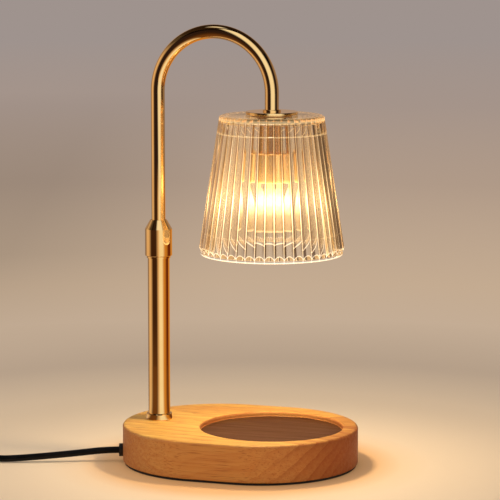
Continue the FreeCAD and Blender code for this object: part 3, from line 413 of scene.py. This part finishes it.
def glass(name, colour, roughness, ior, wave_depth):
    """Clear glass with a faint waviness."""
    f = Finish(name, Transmission_Weight=1.0, IOR=ior)
    faint = tuple(c * 0.985 for c in colour)
    f.use("Base Color", f.blend(f.span(f.noise(30.0, 2.0), 0.3, 0.7), colour, faint))
    f.use("Roughness", f.span(f.noise(180.0, 3.0), 0.3, 0.8, roughness * 0.5, roughness * 1.5))
    f.use("Normal", f.bump(f.noise(110.0, 2.0), wave_depth, 0.5))
    return f.made


def glowing(name, colour, glow, levels):
    """A surface that glows in small cells, with a strength for each height in metres."""
    f = Finish(name, Roughness=0.25, Emission_Color=(*glow, 1))
    darker = tuple(c * 0.9 for c in colour)
    f.use("Base Color", f.blend(f.span(f.noise(300.0, 2.0), 0.3, 0.7), colour, darker))
    cells = f.node("TexVoronoi", Vector=f.space(), Scale=260.0).outputs["Distance"]
    level = f.levels(f.height(), levels)
    f.use("Emission Strength", f.maths("MULTIPLY", level, f.span(cells, 0.0, 0.8, 1.15, 0.8)))
    f.use("Normal", f.bump(cells, 0.0002, 0.6))
    return f.made


FLUTE_END = 6.3    # the flutes' crests start this far over the shade's lower edge
BETWEEN_SKINS = 88.5    # radius plus slope times height, on a cone inside the glass


def shade_glass():
    """Pressed warm glass: amber where it is looked through edge on, with a painted glow of the bulb's light
    along its valleys.
    """
    f = Finish("clear_glass", Transmission_Weight=1.0, IOR=1.38)
    f.use("Roughness", f.span(f.noise(180.0, 3.0), 0.3, 0.8, 0.008, 0.03))
    f.use("Normal", f.bump(f.noise(110.0, 2.0), 0.00003, 0.5))
    x, y, height = f.parts(f.space(move=(-SHADE_X * MM, 0, 0)))
    turn = f.maths("ARCTAN2", y, x)
    phase = f.maths("FRACT", f.maths("MULTIPLY", turn, FLUTES / (2 * math.pi)))
    off_middle = f.maths("ABSOLUTE", f.maths("SUBTRACT", phase, 0.5))
    cone = f.maths("ADD", f.distance(x, y), f.maths("MULTIPLY", height, SHADE_SLOPE))
    outside = f.maths("GREATER_THAN", cone, BETWEEN_SKINS * MM)

    def rise(low, high):
        """From 0 to 1 between two heights over the shade's lower edge, in millimetres."""
        return f.span(height, (SHADE_BOTTOM + low) * MM, (SHADE_BOTTOM + high) * MM)

    def by_height(*stops):
        return f.levels(height, above(SHADE_BOTTOM, stops))

    # Clear on the crests; painted brown shade beside the valleys, for the dark lines that the flutes refract.
    clear = f.blend(f.span(f.noise(30.0, 2.0), 0.3, 0.7), (1.0, 0.98, 0.95), (0.99, 0.965, 0.92))
    painted_dark_lines = f.levels(off_middle, ((0.26, 0.0), (0.37, 0.95), (0.42, 0.95), (0.45, 0.1)))
    painted_dark_lines = f.maths("MULTIPLY", painted_dark_lines, rise(3.7, 11.7))
    f.use("Base Color", f.blend(f.maths("MULTIPLY", painted_dark_lines, outside), clear, (0.40, 0.23, 0.14)))
    # Painted glow of the bulb's light that runs in the valleys, in the ends of the flutes, in the rim and
    # along the inner step.
    valley = f.maths("MULTIPLY", f.span(off_middle, 0.43, 0.49), outside)
    line_light = by_height((-0.3, 0.6), (15.7, 0.95), (29.7, 1.8), (45.7, 4.0), (61.7, 1.6), (85.7, 0.55),
                           (114.7, 0.35), (116.2, 0.2))
    lines = f.maths("MULTIPLY", valley, line_light)
    drop = f.maths("MULTIPLY", f.maths("MULTIPLY", off_middle, off_middle), 0.0124)
    over_end = f.maths("SUBTRACT", f.maths("ADD", height, drop), (SHADE_BOTTOM + FLUTE_END) * MM)
    end_light = f.span(f.maths("ABSOLUTE", over_end), 0.0001, 0.0006, 0.9, 0.0)
    flute_ends = f.maths("MULTIPLY", end_light, outside)
    rim_and_step = by_height((-0.1, 0.7), (0.9, 0.4), (1.5, 0.03), (103.9, 0.03), (104.3, 0.42),
                             (104.7, 0.02))
    # Painted haze of the bulb's light inside the glass, and a painted glow on the outer shoulder.
    painted_haze = by_height((18.1, 0.0), (18.6, 0.25), (19.1, 0.0), (36.7, 0.04), (46.7, 0.12), (61.7, 0.04),
                     (79.7, 0.0))
    shoulder = by_height((114.7, 0.0), (116.1, 0.42), (117.1, 0.42), (118.7, 0.06))
    glow = f.maths("ADD", rim_and_step, f.pick(outside, painted_haze, shoulder))
    f.use("Emission Strength", f.maths("ADD", f.maths("ADD", lines, flute_ends), glow))
    f.use("Emission Color", f.blend(rise(3.7, 8.7), (1.0, 0.84, 0.62), (1.0, 0.72, 0.36)))
    amber = f.node("VolumeAbsorption", Color=(1.0, 0.80, 0.45, 1), Density=40.0)
    f.join(amber.outputs[0], f.out.inputs["Volume"])
    return f.made


def lit_cup():
    """The brass of the cup, with a painted glow for the bulb's light that leaks past its lower edge."""
    f = brushed("cup_brass", BRASS, BRASS_DARK, 0.12)
    f.use("Emission Strength", f.levels(f.height(), above(BULB_FACE, (
        (40.95, 3.0), (42.15, 1.0), (43.95, 0.4), (51.95, 0.14), (63.95, 0.03)))))
    f.shader.inputs["Emission Color"].default_value = (1.0, 0.55, 0.16, 1)
    return f.made


def circuit_board():
    """Green board with rows of lighter tracks."""
    f = Finish("circuit_board")
    tracks = f.node("TexBrick", Vector=f.space(), Scale=300.0, Color1=(0.02, 0.12, 0.05, 1),
                    Color2=(0.03, 0.16, 0.07, 1), Mortar=(0.10, 0.30, 0.14, 1))
    f.use("Base Color", tracks.outputs["Color"])
    f.use("Roughness", f.span(f.noise(300.0), 0.3, 0.8, 0.25, 0.4))
    f.use("Normal", f.bump(tracks.outputs["Fac"], 0.00003, 0.5))
    return f.made


BRASS = (0.94, 0.65, 0.28)
BRASS_DARK = (0.88, 0.56, 0.21)
finishes = {
    "oiled_wood": oiled_wood(),
    "black_pad": plastic("black_pad", (0.010, 0.010, 0.010), (0.022, 0.021, 0.020), 0.85, 900.0, 0.0001),
    "zinc_steel": metal("zinc_steel", (0.58, 0.58, 0.57), (0.46, 0.46, 0.45), 0.30),
    "polished_brass": metal("polished_brass", BRASS, BRASS_DARK, 0.04),
    "turned_brass": metal("turned_brass", (0.80, 0.60, 0.28), (0.66, 0.46, 0.20), 0.28),
    "black_rubber": plastic("black_rubber", (0.004, 0.004, 0.004), (0.010, 0.009, 0.008), 0.6),
    "black_sheath": sheath("black_sheath"),
    "black_plastic": plastic("black_plastic", (0.014, 0.014, 0.015), (0.024, 0.024, 0.025), 0.42, 1100.0,
                             0.00003),
    "white_nylon": plastic("white_nylon", (0.78, 0.76, 0.70), (0.68, 0.66, 0.60), 0.5),
    "wire_insulation": plastic("wire_insulation", (0.30, 0.10, 0.04), (0.22, 0.08, 0.03), 0.5),
    "clear_glass": shade_glass(),
    "clear_silicone": plastic("clear_silicone", (0.74, 0.44, 0.18), (0.66, 0.38, 0.15), 0.4),
    "white_ceramic": plastic("white_ceramic", (0.80, 0.76, 0.68), (0.70, 0.66, 0.58), 0.6, 1600.0, 0.00002),
    "spring_steel": metal("spring_steel", (0.45, 0.45, 0.44), (0.34, 0.34, 0.33), 0.28),
    "contact_copper": metal("contact_copper", (0.80, 0.42, 0.22), (0.62, 0.30, 0.14), 0.25),
    # The bulb's ceramic base has a painted glow, brightest next to the reflector.
    "bulb_ceramic": glowing("bulb_ceramic", (0.84, 0.80, 0.72), (1.0, 0.62, 0.22),
                            above(BULB_FACE, ((35.45, 1.3), (53.95, 0.25)))),
    "bulb_metal": metal("bulb_metal", (0.72, 0.70, 0.66), (0.58, 0.57, 0.54), 0.18),
    "bulb_glass": glowing("bulb_glass", (0.80, 0.66, 0.44), (1.0, 0.70, 0.34),
                          above(BULB_FACE, ((-0.05, 0.9), (1.15, 0.8), (1.75, 0.20), (7.95, 0.28),
                                            (13.95, 0.60), (19.95, 2.0), (25.95, 4.0), (35.45, 1.3)))),
    "quartz": glass("quartz", (1.0, 0.99, 0.97), 0.01, 1.46, 0.00001),
    "tungsten": glowing("tungsten", (0.35, 0.33, 0.30), (1.0, 0.66, 0.30), ((0.0, 30.0), (1.0, 30.0))),
    "circuit_board": circuit_board(),
}
own_finish = {
    "holder_cup": lit_cup(),
    # The neck is a darker copy of the brass: painted shade inside the shade, above the bulb.
    "holder_neck": metal("neck_brass_painted_shade", (0.50, 0.27, 0.085), (0.40, 0.20, 0.06), 0.16),
}
slot_of = {part["node"]: part["material_slot"] for part in frame["record"]["subparts"]}
for name, node in frame["nodes"].items():
    for holder in node.material_slots:
        holder.material = own_finish.get(name, finishes[slot_of[name]])
for piece in (lamp_cord, supply_flex):
    piece.data.materials.append(finishes["black_sheath"])


# ---- fluted glass shade -----------------------------------------------------
def flute_profile(angle):
    """The wall's section as radius and height, at an angle from the middle of a flute's crest."""
    bottom, top = SHADE_BOTTOM, SHADE_TOP
    flute_depth = 1.5
    valley_share = 1 - flute_depth / SHADE_FOOT_RADIUS
    half_flute = math.pi / FLUTES
    ring_inset, ring_height, ring_edge = 2.3, 2.3, 0.9
    ring_radius = SHADE_FOOT_RADIUS - ring_inset
    bevel_slope = (ring_inset - SHADE_SLOPE * FLUTE_END) / (FLUTE_END - ring_height)
    wall, ceiling = 4.2, top - 4.0
    shoulder, inner_round = 4.5, 4.0
    shoulder_past_crest = 0.75
    hole, hole_edge = 7.0, 0.4
    ledge, ledge_depth, ledge_slant = ceiling - 11.0, 0.6, 0.25
    inner_chamfer = 0.5
    on_top, on_ceiling = 24.0, 20.0    # radii of an extra ring of points on each flat face

    def crest(z):
        return SHADE_FOOT_RADIUS - SHADE_SLOPE * (z - bottom)

    def flute(z):
        outer = crest(z)
        valley = outer * valley_share
        centre = (outer ** 2 - valley ** 2) / (2 * (outer - valley * math.cos(half_flute)))
        arc = outer - centre
        return centre * math.cos(angle) + math.sqrt(arc ** 2 - (centre * math.sin(angle)) ** 2)

    def bevel(z):
        return ring_radius + bevel_slope * (z - bottom - ring_height)

    shoulder_z = top - shoulder
    shoulder_r = crest(shoulder_z) + shoulder_past_crest - shoulder * math.sqrt(1 + SHADE_SLOPE ** 2)

    def shoulder_at(z):
        return shoulder_r + math.sqrt(max(0.0, shoulder ** 2 - (z - shoulder_z) ** 2))

    def meet(other, low, high, sign):
        """The height where the flute meets another surface."""
        for _ in range(40):
            middle = (low + high) / 2
            if (flute(middle) - other(middle)) * sign > 0:
                low = middle
            else:
                high = middle
        return (low + high) / 2

    def inner_wall(z):
        return SHADE_FOOT_RADIUS - wall - SHADE_SLOPE * (z - bottom)

    points = [(inner_wall(bottom) + inner_chamfer, bottom)]
    for i in range(7):
        turn = math.radians(15 * i)
        points.append((ring_radius - ring_edge + ring_edge * math.sin(turn),
                       bottom + ring_edge - ring_edge * math.cos(turn)))
    points.append((ring_radius, bottom + ring_height - 0.15))
    points.append((ring_radius, bottom + ring_height))
    low = meet(bevel, bottom + ring_height, bottom + 2 * FLUTE_END, 1)
    for i in range(1, 7):
        z = bottom + ring_height + (low - bottom - ring_height) * i / 6
        points.append((bevel(z), z))
    high = meet(shoulder_at, shoulder_z, top, -1)
    for i in range(1, 29):
        z = low + (high - low) * i / 28
        points.append((flute(z), z))
    start = math.asin(min(1.0, (high - shoulder_z) / shoulder))
    for i in range(1, 9):
        turn = start + (math.pi / 2 - start) * i / 8
        points.append((shoulder_r + shoulder * math.cos(turn), shoulder_z + shoulder * math.sin(turn)))
    points += [(on_top, top), (hole + hole_edge, top), (hole, top - hole_edge), (hole, ceiling),
               (on_ceiling, ceiling)]
    corner = inner_wall(ceiling) - ledge_depth - inner_round
    for i in range(8):
        turn = math.radians(90 - 90 * i / 7)
        points.append((corner + inner_round * math.cos(turn),
                       ceiling - inner_round + inner_round * math.sin(turn)))
    points += [(inner_wall(ledge) - ledge_depth, ledge), (inner_wall(ledge), ledge - ledge_slant)]
    for i in range(1, 15):
        z = ledge - ledge_slant + (bottom + inner_chamfer - ledge + ledge_slant) * i / 14
        points.append((inner_wall(z), z))
    return points


def fluted_shade():
    """The pressed glass shade with every flute, its pointed lower ends and its rounded shoulder."""
    per_flute = 14
    step = 2 * math.pi / FLUTES
    profiles = [flute_profile(i / per_flute * step - step / 2) for i in range(per_flute)]
    around = FLUTES * per_flute
    vertices = []
    for j in range(around):
        turn = step * j / per_flute
        for r, z in profiles[j % per_flute]:
            vertices.append(((SHADE_X + r * math.cos(turn)) * MM, r * math.sin(turn) * MM, z * MM))
    rows = len(vertices) // around
    faces = []
    for j in range(around):
        a, b = j * rows, (j + 1) % around * rows
        for i in range(rows):
            k = (i + 1) % rows
            faces.append((a + i, b + i, b + k, a + k))
    mesh = bpy.data.meshes.new("fluted_shade")
    mesh.from_pydata(vertices, [], faces)
    mesh.shade_smooth()
    mesh.set_sharp_from_angle(angle=math.radians(22))
    shade = bpy.data.objects.new("fluted_shade", mesh)
    scene.collection.objects.link(shade)
    mesh.materials.append(finishes["clear_glass"])
    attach(shade, "arm")
    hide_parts("glass_shade")


fluted_shade()


# ---- tie round the coil -----------------------------------------------------
def coil_tie():
    """A soft flat strap that holds the coil's turns together on one side."""
    reach, rise, corner, thick, wide = 12.4, 5.6, 3.0, 0.9, 10.0
    middle, floor_gap = 5.7, 0.15
    at = math.radians(-35)
    out = Vector((math.cos(at), math.sin(at), 0))
    side = Vector((-math.sin(at), math.cos(at), 0))
    centre = Vector((*COIL_CENTRE, 0)) + out * COIL_RADIUS
    loop = []
    for quarter in range(4):
        cx = (reach - corner) * (1 if quarter in (0, 3) else -1)
        cz = (rise - corner) * (1 if quarter in (0, 1) else -1)
        for i in range(7):
            turn = math.radians(90 * quarter + 15 * i)
            loop.append((cx, cz, math.cos(turn), math.sin(turn)))
    vertices = []
    widths = (-0.5, -0.46, 0.46, 0.5)
    inset = (0.35, 0.0, 0.0, 0.35)
    for cx, cz, c, s in loop:
        for grow, order in ((1, range(4)), (0, reversed(range(4)))):
            for w in order:
                r = corner + (thick - inset[w] if grow else 0.0)
                place = centre + out * (cx + c * r) + side * (widths[w] * wide)
                place.z = max(floor_gap, middle + cz + s * r)
                vertices.append(place * MM)
    around, rows = len(loop), 8
    faces = [(j * rows + i, j * rows + (i + 1) % rows, (j + 1) % around * rows + (i + 1) % rows,
              (j + 1) % around * rows + i) for j in range(around) for i in range(rows)]
    mesh = bpy.data.meshes.new("coil_tie")
    mesh.from_pydata(vertices, [], faces)
    mesh.shade_smooth()
    mesh.set_sharp_from_angle(angle=math.radians(50))
    tie = bpy.data.objects.new("coil_tie", mesh)
    scene.collection.objects.link(tie)
    f = Finish("tie_strap")
    weave = f.node("TexWave", Vector=f.space(turn=(0, 0, at)), Scale=260.0, Distortion=0.6)
    f.use("Base Color", f.blend(weave.outputs["Fac"], (0.012, 0.012, 0.012), (0.035, 0.034, 0.032)))
    f.use("Roughness", f.span(f.noise(400.0), 0.3, 0.7, 0.75, 0.95))
    f.use("Normal", f.bump(weave.outputs["Fac"], 0.00012, 0.8))
    mesh.materials.append(f.made)
    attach(tie, "base")


coil_tie()


# ---- floor ------------------------------------------------------------------
RAYS = ("camera", "diffuse", "glossy", "transmission", "shadow")


def stage_piece(name, vertices, faces, rays):
    """A piece of the stage that only those kinds of ray meet, and the nodes of its bare material."""
    mesh = bpy.data.meshes.new(name)
    mesh.from_pydata(vertices, [], faces)
    piece = bpy.data.objects.new(name, mesh)
    scene.collection.objects.link(piece)
    for ray in RAYS:
        setattr(piece, "visible_" + ray, ray in rays)
    material = bpy.data.materials.new(name)
    mesh.materials.append(material)
    return Nodes(material, "OutputMaterial")


def add_floor():
    """A wide plain floor, cream round the lamp to warm grey far away, with painted warm light next to the
    base.
    """
    size, low = 30.0, -0.0002
    corners = [(-size, -size, low), (size, -size, low), (size, size, low), (-size, size, low)]
    f = stage_piece("floor", corners, [(0, 1, 2, 3)], RAYS)
    x, y, _ = f.parts(f.coords.outputs["Object"])
    distance = f.distance(x, y)
    # The first stop is painted warm light, thrown back from the wood onto the floor next to the base.
    stops = ((0.108, (226, 174, 118)), (0.147, (240, 216, 186)), (0.33, (228, 203, 174)),
             (0.48, (196, 174, 152)), (1.02, (196, 171, 145)), (2.1, (176, 154, 136)),
             (3.6, (165, 148, 138)), (6.0, (159, 147, 142)))
    reach = stops[-1][0]
    tone = f.ramp(f.span(distance, 0.0, reach), [(away / reach, srgb(*colour)) for away, colour in stops])
    # Painted shade: a darker band far off on the left.
    to_right = f.maths("ADD", f.maths("MULTIPLY", x, math.cos(CAMERA_AZIMUTH)),
                       f.maths("MULTIPLY", y, math.sin(CAMERA_AZIMUTH)))
    band = f.levels(distance, ((0.6, 0.0), (1.3, 0.25), (2.2, 0.25), (4.0, 0.0)))
    tone = f.blend(f.maths("MULTIPLY", f.span(to_right, -0.02, -0.32), band), tone, (0.04, 0.04, 0.04))
    # Close by, the floor is mostly lit by the lamps; further off, what is looked at shows the plain tone.
    plain = f.maths("MULTIPLY", f.looked_at(), f.span(distance, 0.28, 0.75, 0.15, 1.0))
    f.show_mix(plain, f.node("BsdfDiffuse", Color=tone), f.node("Emission", Color=tone))


add_floor()


# ---- light ------------------------------------------------------------------
LAMP_MIDDLE = Vector((0, 0, 0.18))


def softbox(name, place, size, radiance, colour, mirrored=True):
    """A rectangular soft lamp that points at the object, of a given brightness as seen from there."""
    data = bpy.data.lights.new(name, "AREA")
    data.shape = "RECTANGLE"
    data.size, data.size_y = size
    data.energy = radiance * math.pi * size[0] * size[1]
    data.color = colour
    lamp = bpy.data.objects.new(name, data)
    lamp.location = place
    lamp.rotation_mode = "QUATERNION"
    lamp.rotation_quaternion = (LAMP_MIDDLE - Vector(place)).to_track_quat("-Z", "Y")
    lamp.visible_camera = False
    lamp.visible_glossy = mirrored
    scene.collection.objects.link(lamp)


def as_seen_in_brass(colour):
    """The light that plain brass turns into that colour."""
    return tuple(c / b for c, b in zip(srgb(*colour), BRASS))


# What the brass shows of the room: a few soft bands, by the turn from the camera's side, left is negative.
PAPER, HONEY, AMBER, DUSK = (250, 210, 140), (225, 165, 95), (205, 122, 35), (145, 105, 62)
UMBER, RUSSET, SMOKE = (62, 32, 10), (100, 30, 5), (45, 25, 13)
WOOD_GLOW = (112, 60, 18)
BANDS = ((-180, DUSK), (-130, DUSK), (-113, HONEY), (-90, HONEY), (-63, UMBER), (-20, UMBER), (0, HONEY),
         (12, PAPER), (37, PAPER), (57, AMBER), (68, AMBER), (94, RUSSET), (113, RUSSET), (130, AMBER),
         (180, AMBER))
HIGH_BANDS = ((-180, DUSK), (-128, DUSK), (-115, HONEY), (-88, HONEY), (-62, SMOKE), (85, SMOKE), (105, DUSK),
              (180, DUSK))


def reflection_wall():
    """A ring of table, floor and wall round the pole that only shows in reflections, with soft bands.

    It glows upwards and inwards, and is clear from below."""
    wall, sides = 1.3, 72
    table, table_end, floor = (WOOD_TOP + 0.5) * MM, 0.26, 0.0004
    rows = ((0.010, table), (table_end, table), (table_end + 0.001, floor), (wall, floor), (wall, 0.9),
            (wall, 1.5))
    vertices = []
    for i in range(sides):
        turn = 2 * math.pi * i / sides
        for r, z in rows:
            vertices.append((POLE_X * MM + r * math.cos(turn), r * math.sin(turn), z))
    deep = len(rows)
    faces = []
    for i in range(sides):
        a, b = deep * i, deep * ((i + 1) % sides)
        for j in range(deep - 1):
            faces.append((a + j, a + j + 1, b + j + 1, b + j))
    f = stage_piece("reflection_wall", vertices, faces, ("glossy",))
    x, y, height = f.parts(f.space(move=(-POLE_X * MM, 0, 0)))
    start = 270 - math.degrees(CAMERA_AZIMUTH)
    part_turn = f.maths("DIVIDE", f.maths("ARCTAN2", y, x), 2 * math.pi)
    from_behind = f.maths("FRACT", f.maths("ADD", part_turn, start / 360))

    def banded(bands):
        return f.ramp(from_behind, [((turn + 180) / 360, as_seen_in_brass(tone)) for turn, tone in bands])

    tone = f.blend(f.span(height, 0.07, 0.12), banded(BANDS), banded(HIGH_BANDS))
    near_wood = f.span(f.distance(x, y), 0.75, 0.15, 0.0, 0.9)
    tone = f.blend(near_wood, tone, as_seen_in_brass(WOOD_GLOW), "LIGHTEN")
    behind = f.levels(from_behind, ((0.10, 1.0), (0.16, 0.0), (0.84, 0.0), (0.90, 1.0)))
    tone = f.blend(f.maths("MULTIPLY", behind, f.span(height, 0.25, 0.40)), tone, (0.44, 0.31, 0.23))
    glow = f.node("Emission", Color=tone, Strength=f.span(height, 0.75, 1.15, 1.0, 0.12))
    from_below = f.node("NewGeometry").outputs["Backfacing"]
    f.show_mix(from_below, glow, f.node("BsdfTransparent"))


def mirrored_card(name, corners, colour, fade):
    """A card that only shows in reflections; fade gives how much of it is there at each place."""
    f = stage_piece(name, corners, [(0, 1, 2, 3)], ("glossy",))
    glow = f.node("Emission", Color=(*as_seen_in_brass(colour), 1))
    f.show_mix(fade(f, *f.parts(f.coords.outputs["Object"])), f.node("BsdfTransparent"), glow)


CARD_MIDDLE = Vector((0.157, -0.214, 0.0))
CARD_ALONG = Vector((0.766, 0.643, 0.0))
CARD_LEVEL = 0.3    # height at which CARD_MIDDLE is the middle of the strip
CARD_LEAN = 0.27    # how far the strip leans left for each metre of height
CARD_HALF, CARD_SPREAD = 0.215, 0.12    # half its width at that height, and its growth for each metre
TOP_CARD = (-0.30, -0.15)
TOP_CARD_HALF, TOP_CARD_HEIGHT = 0.3, 1.4


def front_fade(f, x, y, z):
    """A strip in front on the right that leans left and grows wider upwards, with soft sides."""
    along = f.maths("ADD", f.maths("MULTIPLY", x, CARD_ALONG.x), f.maths("MULTIPLY", y, CARD_ALONG.y))
    along = f.maths("SUBTRACT", along, CARD_MIDDLE.dot(CARD_ALONG))
    up = f.maths("SUBTRACT", z, CARD_LEVEL)
    off_middle = f.maths("ADD", along, f.maths("MULTIPLY", up, CARD_LEAN))
    half = f.maths("ADD", f.maths("MULTIPLY", up, CARD_SPREAD), CARD_HALF)
    return f.span(f.maths("DIVIDE", f.maths("ABSOLUTE", off_middle), half), 0.5, 1.0, 1.0, 0.0)


def top_fade(f, x, y, z):
    """A round patch overhead, with a soft edge; its height plays no part."""
    return f.span(f.distance(x, y, TOP_CARD), 0.10, 0.26, 1.0, 0.0)


reflection_wall()
front_corners = [CARD_MIDDLE + CARD_ALONG * along + Vector((0, 0, z))
                 for along, z in ((-0.9, 0.19), (0.5, 0.19), (0.5, 1.3), (-0.9, 1.3))]
top_corners = [(TOP_CARD[0] + TOP_CARD_HALF * across, TOP_CARD[1] + TOP_CARD_HALF * deep, TOP_CARD_HEIGHT)
               for across, deep in ((-1, -1), (1, -1), (1, 1), (-1, 1))]
mirrored_card("front_card", front_corners, (250, 214, 150), front_fade)
mirrored_card("top_card", top_corners, (236, 204, 150), top_fade)


def side_card(name, low_turn, high_turn, colour):
    """A card a metre from the middle that only shows through glass, by the turn from the camera's side."""
    corners = []
    for turn, z in ((low_turn, 0.001), (high_turn, 0.001), (high_turn, 1.2), (low_turn, 1.2)):
        angle = CAMERA_AZIMUTH + math.radians(turn - 90)
        corners.append((math.cos(angle), math.sin(angle), z))
    f = stage_piece(name, corners, [(0, 1, 2, 3)], ("transmission",))
    f.show(f.node("Emission", Color=(*colour, 1)))


side_card("dark_side_card", 104, 168, (0.10, 0.042, 0.018))
side_card("warm_side_card", -166, -105, (0.50, 0.34, 0.24))
softbox("left_box", (-1.60, -0.35, 0.55), (1.0, 1.5), 1.15, (1.0, 0.96, 0.90))
softbox("right_box", (1.25, -1.25, 0.65), (0.75, 1.6), 1.1, (1.0, 0.95, 0.88))
softbox("warm_side", (1.60, 0.60, 0.45), (1.1, 1.1), 0.60, (1.0, 0.62, 0.28))
softbox("top_box", (-0.35, -0.30, 1.9), (1.3, 1.3), 1.2, (1.0, 0.97, 0.92), mirrored=False)


def bulb_beam():
    """The bulb's own warm light, which moves with the arm."""
    data = bpy.data.lights.new("bulb_beam", "SPOT")
    data.energy = 2.1
    data.color = (1.0, 0.78, 0.46)
    data.spot_size = math.radians(138)
    data.spot_blend = 0.6
    data.shadow_soft_size = 0.02
    lamp = bpy.data.objects.new("bulb_beam", data)
    below_face = 4.0
    lamp.location = (SHADE_X * MM, 0, (BULB_FACE - below_face) * MM)
    scene.collection.objects.link(lamp)
    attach(lamp, "arm")


bulb_beam()


def add_world():
    """Plain soft light; what metal mirrors of it grows darker overhead, and glass shows one warm tone."""
    world = bpy.data.worlds.new("studio")
    scene.world = world
    f = Nodes(world, "OutputWorld")
    up = f.parts(f.coords.outputs["Generated"])[2]
    tone = f.ramp(up, ((0.0, srgb(160, 148, 142)), (0.12, srgb(150, 135, 124)), (0.35, srgb(70, 52, 40)),
                       (1.0, srgb(30, 20, 14))))
    through_glass = f.node("LightPath").outputs["Is Transmission Ray"]
    tone = f.blend(through_glass, tone, srgb(206, 164, 112))
    f.show_mix(f.looked_at(), f.node("Background", Color=(1.0, 0.95, 0.88, 1), Strength=0.46),
               f.node("Background", Color=tone))


add_world()
scene.view_settings.view_transform = "Standard"
